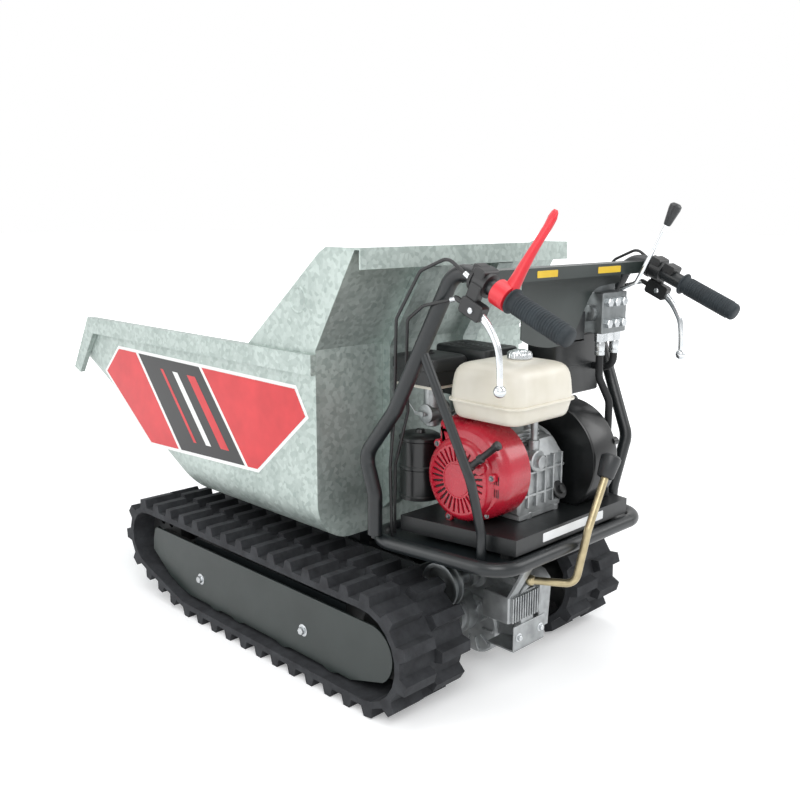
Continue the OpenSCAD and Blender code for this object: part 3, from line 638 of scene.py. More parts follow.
# %% [markdown]
# ## Decal on the left side
# A die-cut vinyl sheet lies on the left wall of the skip. It has six corners and a white border,
# and its field is black and red. The artwork here is plain: two red ends with a white edge, and
# three slanted bars between them. Vinyl is smooth and evenly glossy, with no grain of its own.

# %% Decal
vinyl_white = moulded_plastic("vinyl_white", "#EDEEEC", "#F4F5F3", 0.3, 30.0, 0.02)
vinyl_black = moulded_plastic("vinyl_black", "#131314", "#1A1A1B", 0.28, 30.0, 0.02)
vinyl_red = moulded_plastic("vinyl_red", "#C9252C", "#D93036", 0.3, 30.0, 0.02)
DECAL_CORNERS = [(581, 637), (-162, 631), (-202, 568), (-24, 416), (437, 395), (661, 562)]
DECAL_Y = 328.1
FILM = 0.3


def clipped(outline, a, b, c):
    """The part of an outline where a * x + b * z >= c, found side by side."""
    kept = []
    for start, end in zip(outline, list(outline[1:]) + [outline[0]]):
        d0 = a * start[0] + b * start[1] - c
        d1 = a * end[0] + b * end[1] - c
        if d0 >= 0:
            kept.append(tuple(start))
        if d0 * d1 < 0:
            share = d0 / (d0 - d1)
            kept.append(tuple(np.asarray(start) + share * (np.asarray(end) - np.asarray(start))))
    return kept


def decal_film(name, outline, layer, material):
    """A sheet of vinyl on the skip's left wall, in the given layer."""
    foot = (0, DECAL_Y + layer * FILM, 0)
    flipped = [(-x, z) for x, z in outline]
    points, faces = plate(flipped, foot, BACK, UP, FILM, 0.05)
    return build(name, points, faces, "skip", material)


SLANT = 0.85
MIDDLE_Z = 516.0


def ahead(outline, x):
    """The part ahead of a slanted line that crosses the decal's middle height at x."""
    return clipped(outline, 1, -SLANT, x - SLANT * MIDDLE_Z)


def behind(outline, x):
    """The part behind such a line."""
    return clipped(outline, -1, SLANT, SLANT * MIDDLE_Z - x)


EDGE_FRONT, EDGE_REAR, EDGE_WIDE = 383, 107, 12
field = [tuple(corner) for corner in inset(DECAL_CORNERS, 8)]
decal_film("decal_border", DECAL_CORNERS, 0, vinyl_white)
decal_film("decal_field", field, 1, vinyl_black)
decal_film("decal_front_edge", ahead(field, EDGE_FRONT), 2, vinyl_white)
decal_film("decal_rear_edge", behind(field, EDGE_REAR), 2, vinyl_white)
decal_film("decal_front_end", ahead(field, EDGE_FRONT + EDGE_WIDE), 3, vinyl_red)
decal_film("decal_rear_end", behind(field, EDGE_REAR - EDGE_WIDE), 3, vinyl_red)
bars = [(165, 34, vinyl_red), (235, 22, vinyl_white), (295, 12, vinyl_red)]
for number, (centre, width, film) in enumerate(bars):
    bar = behind(ahead(inset(field, 26), centre - width / 2), centre + width / 2)
    decal_film(f"decal_bar_{number}", bar, 2, film)

# %% [markdown]
# ## Ring pressed into the wing
# A round mark about 55 mm across is pressed into the raised wing of the skip's left wall. A low
# lathe profile, like a worn washer, gives its soft edge in the same zinc.

# %% Pressed ring
ring_profile = [(-0.4, 29), (0.5, 28), (0.9, 26), (0.9, 25), (0.5, 23), (-0.4, 22)]
wing_ring = lathe(ring_profile, (-172, 328, 808), LEFT, 48, hoop=True)
build("wing_ring", *wing_ring, "skip", skip_zinc)

# %% [markdown]
# ## Hand grips
# A rubber grip is moulded with a flange at its inner end and rings under the palm, so that a wet
# hand holds. The radius along the grip is a smooth step at the flange plus a row of ridges.

# %% Grips
BAR_CORNER = np.array([-562.0, 284.0, 892.0])
GRIP_ANGLE = math.radians(23.8)
DOWN_BAR = np.array([-math.cos(GRIP_ANGLE), 0, -math.sin(GRIP_ANGLE)])
ABOVE_BAR = np.array([-math.sin(GRIP_ANGLE), 0, math.cos(GRIP_ANGLE)])
GRIP_FROM, GRIP_TO = 134.0, 264.0
GRIP_R, FLANGE_R, RING_STEP = 17.6, 23.0, 5.2
h = np.linspace(0, GRIP_TO - GRIP_FROM, 240)
ridges = 1.3 * (0.5 + 0.5 * np.tanh(5 * np.cos(2 * np.pi * h / RING_STEP)))
ridges *= (h > 12) & (h < 118)
flange = (FLANGE_R - GRIP_R) / (1 + np.exp((h - 4.5) * 2.5))
end_round = 3.5 * np.clip((h - 124) / 6, 0, 1) ** 2
grip_radius = GRIP_R + ridges + flange - end_round
start_round = 1.5 * np.clip(1 - h / 1.2, 0, 1)
grip_profile = np.stack([h, grip_radius - start_round], axis=1)
for side_name, side in SIDES:
    foot = BAR_CORNER * (1, side, 1) + DOWN_BAR * GRIP_FROM
    on_chassis(
        f"ribbed_grip_{side_name}", [lathe(grip_profile, foot, DOWN_BAR, 40)], grip_rubber,
        f"grip_{side_name}", crease=60
    )

# %% [markdown]
# ## Hand levers
# The levers are cast alloy, polished bright: a flat blade that is wide at its pivot, bends down
# past the grip and ends in a ball. A sweep with an oval that narrows along a smooth path gives
# the blade, and a round bulge of the same sweep gives the ball.

# %% Levers
PERCH_Y = 19.0
CLAMP_AT = 70.0
LEVER_KNOTS = [
    (-14, -43), (-30, -46), (-50, -53), (-70, -65), (-87, -80), (-103, -106), (-120, -141)
]
lever_s = np.linspace(0, 1, 70)
lever_wide = 8.5 - 3.0 * lever_s
for side_name, side in SIDES:
    centre = BAR_CORNER + DOWN_BAR * CLAMP_AT + (0, PERCH_Y, 0)
    knots = [centre - DOWN_BAR * a + ABOVE_BAR * b for a, b in LEVER_KNOTS]
    path = smooth_path(np.array(knots) * (1, side, 1), 70)
    blade = sweep(path, lever_wide, 4.6, LEFT, 20)
    on_chassis(
        f"lever_blade_{side_name}",
        [blade, lathe(ball(11, 0.12, 20), path[-1], path[-1] - path[-3], 28)], lever_chrome,
        f"brake_lever_{side_name}", crease=50
    )

# %% [markdown]
# ## Bolts and nuts
# Hexagon heads on washers hold the plates. They are plated bright, and each catches the light, so
# they matter more than their size. All of one group share a mesh.


# %% Fasteners
def hexagon_bolt(place, axis, r):
    """Washer and hexagon head: two lathes, one with 24 sides and one with six."""
    axis = np.asarray(axis, float)
    washer = [(0, 1.6 * r), (0.7, 1.6 * r), (1.0, 1.52 * r), (1.0, 0.5 * r)]
    head = [(0.9, r), (0.9 + 0.85 * r, r), (0.9 + 1.0 * r, 0.86 * r)]
    return together([lathe(washer, place, axis, 24), lathe(head, place, axis, 6)])


def bolt_group(name, places, axis, r, material):
    """All bolts of one group in one mesh."""
    return on_chassis(name, [hexagon_bolt(place, axis, r) for place in places], material)


# %% [markdown]
# ## Side plates
# A flat steel plate covers the rollers on each side. Its ends are drawn in, and its lower edge
# runs in shallow round feet. The feet are arcs of radius 46 under a straight line, so the lower
# edge at x is the lower of the line and the arcs.

# %% Side plates
PLATE_LOW, FOOT_LOW, FOOT_R = 44.0, 38.0, 46.0
x = np.linspace(-338, 262, 121)
feet = np.array([150, 58, -113, -274])
reach = np.clip(FOOT_R**2 - (x[:, None] - feet) ** 2, 0, None)
low_edge = np.minimum(PLATE_LOW, (FOOT_LOW + FOOT_R - np.sqrt(reach)).min(axis=1))
plate_outline = np.vstack(
    [
        arc(-399, 123.5, 61, 90, 236, 24),
        np.column_stack([x, low_edge]),
        [(305, 53), (353, 70), (429, 121), (427, 150), (419, 177), (409, 184.5)],
    ]
)
PLATE_BOLTS = [(209, 101), (-186, 101)]
for side_name, side in SIDES:
    sheet = layered(plate_outline, [(336, 0.6), (336.6, 0), (340.4, 0), (341, 0.6)])
    bolts = [hexagon_bolt((x0, 341, z0), LEFT, 8.5) for x0, z0 in PLATE_BOLTS]
    mirror = np.array([1, side, 1])
    build(f"cover_plate_{side_name}", sheet[0] * mirror, sheet[1], "chassis", plate_coat,
          replaces=(f"side_plate_{side_name}",))
    heads = together(bolts)
    build(f"cover_bolts_{side_name}", heads[0] * mirror, heads[1], "chassis", bright_zinc)

# %% [markdown]
# ## Gearbox
# The transmission is an aluminium casting: a round axle housing with radial ribs, stepped necks
# towards the sprockets, a case with a joint flange, and a finned box at the rear.

# %% Gearbox
AXLE = np.array([-396.0, 0, 129.5])
HOUSING = np.array([-426.0, 0, 104.5])
case_view = [
    (-544, 110), (-550, 214), (-534, 232), (-439, 262), (-385, 262), (-369, 214), (-331, 206),
    (-331, 96), (-396, 70)
]
flange_view = [
    (-554, 104), (-558, 220), (-538, 240), (-441, 270), (-381, 270), (-363, 220), (-372, 190),
    (-419, 88)
]
parts = [
    slab(case_view, -52, 52, 5),
    slab(flange_view, -3.5, 3.5, 1),
    lathe([(-62, 52), (-60, 60), (-55, 64), (55, 64), (60, 60), (62, 52)], HOUSING, LEFT, 64),
    lathe([(-60, 30), (-58, 34), (58, 34), (60, 30), (61, 26), (84, 26)], (-419, 0, 221), LEFT,
          48),
    block(-560, -490, 20, 110, 162, 220, 4, 2),
    tube([(-550, 71, 212), (-577, 71, 246)], 10, 6),
    slab([(-560, 218), (-553, 218), (-614, 330), (-622, 330)], 84, 110, 0.6),
    block(-566, -496, -6, 98, 99, 103, 2, 0.6),
    block(-566, -562, -6, 98, 101, 154, 1.5, 0.6),
    block(-563, -543, 30, 70, 140, 166, 2, 0.8),
]
parts += [block(-566.5, -558, y, y + 3.6, 164, 218, 1, 0.5) for y in range(20, 107, 8)]
neck = [
    (42, 40), (44, 44), (90, 44), (92, 38), (103, 38), (104, 42), (112, 42), (114, 34), (131, 34),
    (133, 27), (184, 27)
]
for side in (1, -1):
    parts.append(lathe(neck, AXLE, (0, side, 0), 56))
    for k in range(10):
        angle = 2 * np.pi / 10 * k
        out = np.array([np.cos(angle), 0, np.sin(angle)])
        rib_foot = HOUSING + out * 41 + (0, side * 60, 0)
        parts.append(plate([(-13, -2), (13, -2), (13, 2), (-13, 2)], rib_foot, out,
                           np.cross((0, side, 0), out), 7, 0.6))
        parts.append(hexagon_bolt(HOUSING + out * 55 + (0, side * 61, 0), (0, side, 0), 4))
on_chassis("gearbox_casting", parts, cast_aluminium, "gearbox")
bolt_group("tow_plate_bolts", [(-566, 10, 128), (-566, 82, 128)], BACK, 6, bright_zinc)

# %% [markdown]
# ## Belt pulley and gear lever
# The pulley is turned steel with a belt groove. The gear lever is a bent rod with a moulded knob,
# and both are a profile or a path away from the functions above.

# %% Pulley and lever
pulley_profile = [
    (85, 16), (139, 16), (140, 46), (141, 48), (146, 48), (149, 41), (156, 41), (159, 48),
    (165, 48), (166, 46), (166, 39), (160, 37), (160, 15), (164, 14)
]
pulley_nut = [(160, 10), (161, 11.5), (168, 11.5), (169.5, 9)]
INPUT = (-419, 0, 221)
on_chassis(
    "input_pulley", [lathe(pulley_profile, INPUT, LEFT, 64), lathe(pulley_nut, INPUT, LEFT, 6)],
    dull_steel, "drive_pulley"
)
GEAR_KNOTS = [(-584, 71, 255), (-662, 30, 258), (-672, 8, 368), (-672, -46, 470)]
on_chassis(
    "gear_lever_rod", [tube(GEAR_KNOTS, 24, 8), lathe(ball(11, 0.1, 16), GEAR_KNOTS[0], UP, 28)],
    yellow_zinc, "gear_lever"
)
knob_profile = [(0, 12), (1, 15), (4, 17), (38, 20.5), (44, 20), (48, 16), (50, 9), (50.6, 3)]
on_chassis("gear_knob", [lathe(knob_profile, (-672, -43, 464), (0, -23, 44), 36)], knob_plastic)

# %% [markdown]
# ## Engine
# The crankcase is die-cast aluminium with ribs on its rear wall, a foot with four lugs, a round
# cover with bolts and an inclined cylinder with square fins. Each is a closed shell of its own
# in one mesh, since castings that are bolted together need no joined surface.

# %% Crankcase
case_outline = [
    (-574, 393), (-578, 440), (-574, 504), (-550, 532), (-460, 544), (-416, 510), (-412, 393)
]
FOOT_POINTS = [(-563, 68), (-563, -20), (-422, 68), (-422, -20)]
lean = np.array([math.sin(math.radians(65)), 0, math.cos(math.radians(65))])
cylinder_foot = np.array([-460.0, 35, 478])
parts = [
    slab(case_outline, -35, 105, 5),
    block(-574, -412, -31, 101, 382.4, 394, 5, 1.5),
    lathe([(34, 70), (35, 76), (42, 78), (43, 74), (43, 26), (54, 26), (55, 22), (55, 11),
           (60, 11)],
          CRANK, RIGHT, 72),
    lathe([(0, 22), (12, 22), (14, 20), (14, 13), (23, 13), (24, 11)], (-570, 58, 500), BACK, 36),
    lathe([(0, 15), (22, 15)], (-562, -14, 416), (-24, 0, 12), 32),
    lathe([(0, 42), (128, 42), (130, 38)], cylinder_foot, lean, 48),
    block(-552, -456, 20, 100, 524, 558, 6, 2),
]
parts += [block(-583, -572, -26 + 27 * i, -21 + 27 * i, 408, 506, 1.5, 1) for i in range(5)]
parts += [block(-582, -572, -33, 97, z, z + 5, 1.5, 1) for z in (430, 476)]
parts += [block(-556, -452, 16, 104, 529 + 8 * i, 532 + 8 * i, 8, 0.8) for i in range(4)]
parts += [hexagon_bolt(round_crank(68, -42.5, 60 * k + 30), RIGHT, 5) for k in range(6)]
for i in range(9):
    fin_foot = cylinder_foot + lean * (45 + 9 * i)
    parts.append(plate(rounded(104, 104, 12), fin_foot, LEFT, np.cross(lean, LEFT), 3.4, 0.8))
parts += [
    lathe([(0, 13), (12, 13), (13.5, 11.5)], (px, py, 382.5), UP, 28) for px, py in FOOT_POINTS
]
TANK_POSTS = [(-566, 52), (-530, 28), (-510, 92)]
parts += [
    lathe([(0, 11), (50, 11), (51, 7), (102, 7)], (px, py, 490), UP, 24) for px, py in TANK_POSTS
]
parts.append(lathe([(0, 15), (59, 15)], (-372, 10, 540), UP, 28))
on_chassis("crankcase", parts, cast_aluminium, "engine_block")
bolt_group("engine_foot_bolts", [(px, py, 396) for px, py in FOOT_POINTS], UP, 7, bright_zinc)
filler_profile = [(0, 14), (0, 18.5), (6, 19), (8, 17), (8, 9), (14, 9), (15, 7)]
on_chassis(
    "oil_filler_cap", [lathe(filler_profile, (-581, -14, 425.5), (-24, 0, 12), 36)], black_plastic
)

# %% [markdown]
# ## Fan cover with the starter
# The red cover is pressed steel. Its scroll is an outline whose level curves draw in towards the
# front. The starter's face is a height over a polar grid: flat, rounded at the rim, and sunk by
# 4.4 mm in 30 radial slots, where the distance from the slot's middle line, r * angle, is small.

# %% Fan cover
scroll = np.vstack([arc(-504, 484, 98, 33.2, -270, 90), [(-432, 582), (-424, 579), (-422, 572)]])
scroll_levels = [
    (105.4, 1), (107, 0), (158, 0), (164, 1), (170, 3), (175, 6), (180, 10), (183, 14), (183.5, 18)
]
SLOTS, SLOT_W, SLOT_IN, SLOT_OUT, SLOT_DEEP = 30, 4.6, 37.0, 66.0, 4.4
r = np.concatenate([[84, 84, 83.4, 81.5, 79, 77, 75], np.arange(73, 66, -1.0), [66.2, 65.6],
                    np.arange(64, 38, -2.0), [37.4, 36.8, 34.6, 34, 32, 31.4, 24, 12, 2]])
edge = np.interp(
    r, [0, 70, 74, 77, 79, 81.5, 83.4, 84], [195, 195, 193.8, 191.8, 190, 187, 184, 182]
)
edge[0] = 178
edge -= 1.2 * ((r > 31.6) & (r < 34.4))
angle = np.arange(SLOTS * 16) * 2 * np.pi / (SLOTS * 16)
from_slot = (angle * SLOTS / (2 * np.pi) + 0.5) % 1 - 0.5
across_slot = np.abs(r[:, None] * from_slot * 2 * np.pi / SLOTS)
in_slot = (across_slot < SLOT_W / 2) & (r[:, None] > SLOT_IN) & (r[:, None] < SLOT_OUT)
height = edge[:, None] - SLOT_DEEP * in_slot
starter_points = np.stack(
    [CRANK[0] + r[:, None] * np.cos(angle), height, CRANK[2] + r[:, None] * np.sin(angle)], axis=-1
).reshape(-1, 3)
starter_face = (starter_points, strip_faces(len(r), len(angle)))
lug_profile = [(0, 9), (7, 9), (8.5, 7.5)]
LUG_R, LUG_ANGLES = 85, (47, 167, 287)
parts = [layered(scroll, scroll_levels), starter_face]
parts += [lathe(lug_profile, round_crank(LUG_R, 182, degrees), LEFT, 28) for degrees in LUG_ANGLES]
parts.append(lathe([(0, 14), (15, 13), (18, 11), (18, 6)], (-548, 182, 504), LEFT, 32))
on_chassis("fan_cover", parts, red_coat, "recoil_cover", crease=28)
screws = [(-564, 176, 548), (-552, 176, 408), (-434, 176, 548)]
screws += [round_crank(LUG_R, 190, degrees) for degrees in LUG_ANGLES]
bolt_group("fan_cover_screws", screws, LEFT, 3.6, dull_steel)

# %% [markdown]
# ## Painted shade in the slots
# The slots are shallow, so black paints the shade that would fill them. A black ring lies at the
# floor of the radial slots, and thin black sheets paint the shade of the small upright slots and
# the inlets.

# %% Painted slot shade
# A black material that paints the shade inside the slots of the fan cover and the muffler guard.
screen_black = moulded_plastic("screen_black", "#0B0B0C", "#131314", 0.6, 2.0, 0.05)
ring_cut = [(0, 37.2), (0.3, 37.2), (0.3, 65.8), (0, 65.8)]
fan_screen = lathe(ring_cut, CRANK + (0, 190.62, 0), LEFT, 96, hoop=True)
on_chassis("fan_screen", [fan_screen], screen_black)


def shade_sheet(dx, dz, width, height, y):
    """Thin black sheet of painted slot shade that faces +Y, its lower corner at dx, dz from the
    crankshaft.
    """
    foot = CRANK + (dx + width / 2, y, dz + height / 2)
    return plate(rounded(width, height, min(width, height) * 0.3), foot, BACK, UP, 0.5, 0.1)


slot_rows = [(-95.5 + 4.2 * i, dz, 2.5, 17) for i in range(3) for dz in (-19, 6)]
slot_rows += [(46, 34, 5, 22), (46, 62, 5, 22), (14, 88, 34, 6)]
on_chassis("slot_screens", [shade_sheet(*row, 183.0) for row in slot_rows], screen_black)

# %% [markdown]
# ## Starter grip
# A T-shaped nylon grip with flanges, on a cord that enters the guide. It is a single profile
# turned about its own length.

# %% Starter grip
grip_from, grip_to = np.array([-536.0, 210.4, 508]), np.array([-607.0, 210.4, 566])
starter_profile = [
    (0, 5), (1, 8.6), (7, 9), (9, 7), (27, 6.4), (30, 8.8), (37, 8.8), (40, 6.6), (78, 6.8),
    (81, 8.8), (88, 9), (91, 5)
]
on_chassis(
    "starter_handle", [lathe(starter_profile, grip_from, grip_to - grip_from, 28)], black_plastic,
    "starter_grip"
)

# %% [markdown]
# ## Fuel tank
# Two pressed halves meet in a flanged seam. The wall leans in above and below it, and the top is
# a shallow dome. Each level curve is the seam's rectangle moved in by d, with wide corners.

# %% Fuel tank
tank_levels = [
    (593, 16), (594.5, 12), (598, 8.5), (604, 6), (629, 0.5), (640, 0.4), (664, 2.4), (678, 4.6),
    (686, 7.5), (692, 11.5), (696.5, 17), (699.5, 25), (701, 36), (701.6, 52)
]


def tank_curve(d):
    """The tank's rectangle moved in by d, with corners of radius 30 less a third of d."""
    return room(-632 + d, -457 - d, 2 + d, 196 - d, 30 - d / 3, 9)


tank_body = stack([(z, tank_curve(d)) for z, d in tank_levels])
seam = stack([(626.5, tank_curve(1)), (627, tank_curve(-3.6)), (630.5, tank_curve(-3.6)),
              (631.5, tank_curve(1))])
neck_piece = lathe([(0, 32), (2, 31), (3, 22), (8, 21)], (-542, 75, 700), UP, 40)
on_chassis("tank_shell", [tank_body, seam, neck_piece], tank_paint, "fuel_tank", crease=40)
cap_profile = [
    (0, 22), (0.6, 24.5), (10, 24.5), (13, 22), (14, 17), (14, 15), (16.5, 13.5), (17, 5)
]
on_chassis(
    "tank_cap", [lathe(cap_profile, (-542, 75, 703.5), UP, 144, lobes=18, lobe_depth=0.018)],
    bright_zinc, "fuel_cap", crease=50
)

# %% [markdown]
# ## Filter and carburettor
# The filter's lid and tray are moulded, and the carburettor is a small casting beside the engine.
# Boxes are level curves with round corners, and round pieces are turned.

# %% Filter and carburettor
filter_parts = [
    stack([(640, room(-409, -291, 75, 179, 14)), (670, room(-409, -291, 75, 179, 14))]),
    stack([(669, room(-411, -289, 73, 181, 15)), (670, room(-412, -288, 72, 182, 16)),
           (688, room(-412, -288, 72, 182, 16)), (694, room(-409, -291, 75, 179, 14)),
           (697, room(-402, -298, 82, 172, 10)), (698, room(-392, -308, 92, 162, 8))]),
    lathe([(0, 10), (3, 10), (4, 6), (8, 6)], (-350, 127, 697), UP, 8),
]
on_chassis("filter_box", filter_parts, black_plastic, "air_cleaner")
on_chassis(
    "filter_plate",
    [stack([(633, room(-404, -296, 80, 174, 10)), (640, room(-404, -296, 80, 174, 10))])],
    tank_paint
)
carburettor_parts = [
    lathe([(87.4, 27), (93, 27), (94, 20), (139, 20), (140, 17), (140, 5), (150, 5)],
          (-350, 0, 572), LEFT, 36),
    lathe([(0, 12), (2, 16), (20, 16)], (-350, 118, 544), UP, 32),
    lathe([(0, 18), (49, 18)], (-350, 118, 585), UP, 32),
    block(-356, -326, 144, 147, 568, 576, 1, 0.4),
    tube([(-330, 146, 572), (-300, 146, 600), (-300, 120, 640)], 12, 1.6, 10),
]
on_chassis("carburettor", carburettor_parts, cast_aluminium)

# %% [markdown]
# ## Muffler guard and canister
# The guard is a folded and enamelled box over the hot muffler, and the canister is a rolled drum
# with beads pressed round it. Level curves make the box, and one profile makes the drum.

# %% Muffler guard and canister
guard_curve = [room(-445 + d, -290 - d, -52 + d, 52 - d, 16 - d) for d in (0, 1.5, 5)]
guard_levels = [(600, guard_curve[1]), (601, guard_curve[0]), (699, guard_curve[0]),
                (703, guard_curve[1]),
                (705, guard_curve[2])]
on_chassis("muffler_cover", [stack(guard_levels)], black_coat, "muffler_guard")
# Thin black sheets on the guard's top and rear paint the shade inside its slots.
top_slots = [plate(rounded(6, 38, 2.5), (-428 + 14 * i, y, 705.0), FORWARD, LEFT, 0.3, 0.1)
             for i in range(9) for y in (-23, 23)]
rear_slots = [plate(rounded(5, 50, 2.3), (-445.0, -27 + 11 * i, 655), RIGHT, UP, 0.3, 0.1)
              for i in range(6)]
on_chassis("guard_slots", top_slots + rear_slots, screen_black)
can_profile = [
    (392, 40), (393, 44.6), (400, 45), (402, 43), (456, 43), (458, 45), (464, 45), (466, 43),
    (516, 43), (518, 45), (524, 45), (527, 42), (531, 34), (532, 12), (538, 9), (539, 7)
]
on_chassis(
    "round_canister", [lathe(can_profile, (-338, 140, 0), UP, 56)], guard_plastic, "canister"
)

# %% [markdown]
# ## Belt guard
# The belt runs inside a deep black cover at the right of the engine. Its outline is an arc of
# radius 118 that ends on the tray, with a raised disc on the outer face and the shaft's opening
# on the inner one.

# %% Belt guard
guard_outline = np.vstack([[(-400, 382.6)], arc(-518, 475, 118, 0, 231.6, 72)])
parts = [
    layered(guard_outline, [(-150, 7), (-149, 4), (-145, 1), (-141, 0), (-66, 0), (-63.5, 1),
                            (-62, 3)]),
    lathe([(149, 92), (153, 90), (154, 84)], (-518, 0, 475), RIGHT, 64),
]
for q in np.radians([20, 90, 160]):
    parts.append(lathe([(-12, 9), (3, 9), (4, 7)],
                       (-518 + 112 * math.cos(q), -150, 475 + 112 * math.sin(q)),
                       RIGHT, 24))
on_chassis("belt_cover", parts, guard_plastic, "belt_guard")
shaft_ring = lathe(
    [(0, 14), (1.4, 15), (1.4, 24), (0, 26)], (-490, -62.4, 470), LEFT, 40, hoop=True
)
on_chassis("shaft_opening", [shaft_ring], black_coat)

# %% [markdown]
# ## Controls and cables
# Each handlebar has a moulded clamp with a forked perch for the lever. Bowden cables leave it,
# arch forward over the bar and run down to the platform. Their sheath is about 6 mm thick.

# %% Controls
CABLE_R = 3.2
THROTTLE_BLOCK = {"left": (52, 14, -12, 14, 18, 24, 4), "right": (98, 16, -17, 17, 26, 16, 4)}
LEVER_CABLE = [
    (-580, 303, 836), (-500, 303, 818), (-460, 303, 790), (-425, 270, 700), (-400, 240, 600),
    (-356, 232, 480), (-352, 228, 336.5)
]
THROTTLE_CABLE = [
    (-609, 303, 872), (-560, 306, 905), (-500, 312, 880), (-440, 312, 790), (-405, 280, 690),
    (-385, 262, 600), (-360, 250, 480), (-362, 246, 336.5)
]


def on_bar(down, across_bar, above, side=1):
    """A place beside a handlebar: down along the bar, across and above it."""
    place = BAR_CORNER + DOWN_BAR * down + ABOVE_BAR * above + (0, across_bar, 0)
    return place * (1, side, 1)


def bar_block(down, above, across_from, across_to, length, height, r, side):
    """Moulded block on a bar: a rounded outline along and above the bar, thick across it."""
    foot = on_bar(down, across_from, above)
    points, faces = plate(
        rounded(length, height, r), foot, DOWN_BAR, ABOVE_BAR, across_to - across_from, 2.0
    )
    return points * (1, side, 1), faces


for side_name, side in SIDES:
    bar_start = on_bar(0, 0, 0, side)
    parts = [
        lathe([(55, 19), (56, 22), (84, 22), (85, 19)], bar_start, DOWN_BAR, 36),
        lathe([(48, 20), (49, 24), (55, 24), (56, 20)], bar_start, DOWN_BAR, 36),
        bar_block(70, -18, 11, 25, 26, 34, 4, side),
        bar_block(79, -43, 9, 29, 50, 30, 6, side),
        bar_block(64, 10, -20, 20, 26, 30, 6, side),
        bar_block(*THROTTLE_BLOCK[side_name], side),
        lathe([(0, 5), (16, 5), (22, 3.4)], on_bar(55, 19, -44, side), -DOWN_BAR, 20),
    ]
    for route in (LEVER_CABLE, THROTTLE_CABLE):
        parts.append(tube(np.array(route) * (1, side, 1), 26, CABLE_R, 12))
    on_chassis(f"clamp_and_cables_{side_name}", parts, black_plastic, f"control_{side_name}")
    pivot = [
        lathe([(-13, 4), (-12, 5.5), (12, 5.5), (13, 4)], on_bar(82, 19, -44, side), LEFT, 20)
    ]
    ends = [(LEVER_CABLE[0], LEVER_CABLE[1]), (THROTTLE_CABLE[0], THROTTLE_CABLE[1])]
    for start, after in ends:
        start, after = np.array(start) * (1, side, 1), np.array(after) * (1, side, 1)
        pivot.append(lathe([(2, 4), (3, 4.8), (14, 4.8), (15, 3.6)], start, after - start, 16))
    on_chassis(f"lever_pivot_{side_name}", pivot, bright_zinc)

# %% [markdown]
# ## Red stop lever
# A broad red plastic lever rises from its own clamp at the left grip: wide at the root, slim in
# the neck and rounded at the top. One sweep with changing width gives it.

# %% Stop lever
stop_knots = [
    (-672, 280, 846), (-682, 275, 866), (-698, 267, 900), (-715, 257, 935), (-728, 248, 962),
    (-736, 241, 986)
]
stop_path = smooth_path(stop_knots, 60)
q = np.linspace(0, 1, 60)
stop_wide = np.interp(q, [0, 0.2, 0.5, 0.75, 0.9, 0.97, 1], [21, 18, 11, 11, 14, 12, 5])
stop_thick = np.interp(q, [0, 0.3, 0.6, 0.9, 1], [13, 9, 6.5, 6.5, 3])
stop_clamp = lathe([(100, 20), (101, 23), (130, 23), (131, 20)], on_bar(0, 0, 0), DOWN_BAR, 40)
on_chassis(
    "stop_lever_arm", [sweep(stop_path, stop_wide, stop_thick, (0.55, 0.83, 0), 24), stop_clamp],
    red_plastic, "stop_lever", crease=45
)

# %% [markdown]
# ## Bar and shield between the handlebars
# A folded sheet bar joins the handlebars, and a shield hangs below it with an arched lower edge.

# %% Bar and shield
bar_view = [
    (-600, 857), (-597, 857), (-597, 878), (-563, 878), (-563, 860), (-560, 860), (-560, 881),
    (-600, 881)
]
arch = smooth_path([(99, 743), (70, 731), (30, 722), (-10, 719), (-45, 724), (-72, 738),
                    (-92, 762),
                    (-112, 792), (-138, 822), (-170, 832), (-240, 836)], 50)
shield_outline = np.vstack([[(-240, 868), (99, 868)], arch])
shield = plate(shield_outline, (-563, 0, 0), LEFT, UP, 3, 0.6)
on_chassis(
    "bar_and_shield", [slab(bar_view, -268.6, 268.6, 0.5), shield], plate_coat, "cross_panel"
)

# %% [markdown]
# ## Hydraulic valve and hoses
# The tipping valve is a steel block with a round spool end, hexagon plugs and two hoses with
# crimped ferrules. Hoses are tubes along a bent path, and nuts are lathes with six sides.

# %% Valve
valve_parts = [
    block(-587, -527.4, -230, -140, 735, 820, 3, 1.5),
    lathe([(-246, 14), (-245, 17), (-125, 17), (-124, 14)], (-560, 0, 778), LEFT, 36),
    block(-559.6, -555.6, -225, -145, 812, 864, 1.5, 0.5),
]
on_chassis("valve_block", valve_parts, dull_steel, "hydraulic_valve")
PORT_Y = (-212, -185, -158)
port_nut = [(716, 9), (717, 12.5), (735, 12.5), (736, 11)]
cap_nut = [(0, 10), (8, 10), (9.5, 8.5)]
nuts = [lathe(port_nut, (-572, y, 0), UP, 6) for y in PORT_Y]
nuts += [lathe(cap_nut, (-586.5, y, z), BACK, 6) for y in PORT_Y for z in (800, 756)]
ferrule = [(688, 8.6), (689, 10.6), (696, 10.6), (697, 9.8), (699, 10.6), (712, 10.6), (717, 9)]
nuts += [lathe(ferrule, (-572, y, 0), UP, 28) for y in (-212, -158)]
on_chassis("valve_nuts", nuts, bright_zinc)
RETURN_HOSE = [(-572, -158, 700), (-572, -160, 640), (-592, -172, 590), (-592, -172, 383)]
TANK_HOSE = [(-572, -212, 700), (-572, -212, 655), (-522, -212, 655)]
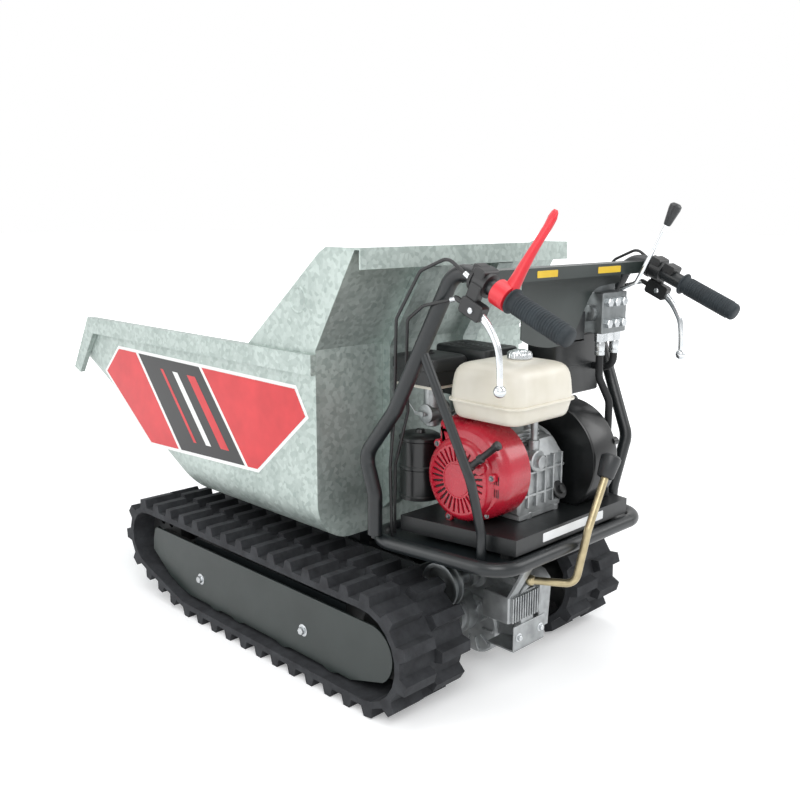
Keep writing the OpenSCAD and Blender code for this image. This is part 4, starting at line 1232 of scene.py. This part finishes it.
on_chassis("valve_hoses", [tube(RETURN_HOSE, 40, 8, 20), tube(TANK_HOSE, 24, 8, 20)], hose_rubber)

# %% [markdown]
# ## Oil tank and tip lever
# The oil tank is a folded and welded box with a flange round its middle and a screwed cap. The
# tip lever is a thin plated rod with a moulded handle, so a tube and a lathe are enough.

# %% Oil tank and tip lever
oil_parts = [
    block(-522.7, -440, -240, -75, 600, 728, 14, 3),
    block(-523.2, -437, -243, -72, 660, 664, 16, 1),
    lathe([(0, 20), (1, 21), (10, 21), (12, 19), (12, 8)], (-480, -110, 727.5), UP, 36),
    block(-559.6, -510, -118, -50, 722, 726, 1.5, 0.6),
    block(-559.6, -556, -118, -50, 722, 782, 1.5, 0.6),
]
on_chassis("oil_box", oil_parts, black_coat, "oil_tank")
TIP_KNOTS = [(-580, -216, 824), (-613, -220, 840), (-672, -228, 960)]
on_chassis("tip_lever_rod", [tube(TIP_KNOTS, 12, 4.2)], lever_chrome, "tip_lever")
tip_profile = [(0, 5), (1, 7), (5, 8), (36, 12.4), (43, 12), (46.5, 8), (47.2, 3)]
on_chassis(
    "tip_lever_handle", [lathe(tip_profile, (-671, -227.9, 957), (-19, -2.1, 43), 32)],
    knob_plastic
)

# %% [markdown]
# ## Blank labels
# Three labels are left blank: two yellow ones on the bar between the handlebars and a white strip
# on the rear of the engine's tray. Each is a thin film with rounded corners.


# %% Labels
label_yellow = moulded_plastic("label_yellow", "#D9B21F", "#E6C233", 0.35, 20.0, 0.02)
label_white = moulded_plastic("label_white", "#E4E6E6", "#EFF0F0", 0.35, 20.0, 0.02)


def label(name, centre, size, u, v, material):
    """A film of rounded outline, 0.4 mm thick, on a flat face."""
    points, faces = plate(rounded(*size, 2.0), centre, u, v, 0.4, 0.05)
    return build(name, points, faces, "chassis", material)


label("panel_label_right", (-600.1, -137, 869), (82, 13), RIGHT, UP, label_yellow)
label("panel_label_left", (-600.1, 72, 869), (64, 13), RIGHT, UP, label_yellow)
label("tray_strip", (-636.1, 4, 367), (206, 18), RIGHT, UP, label_white)
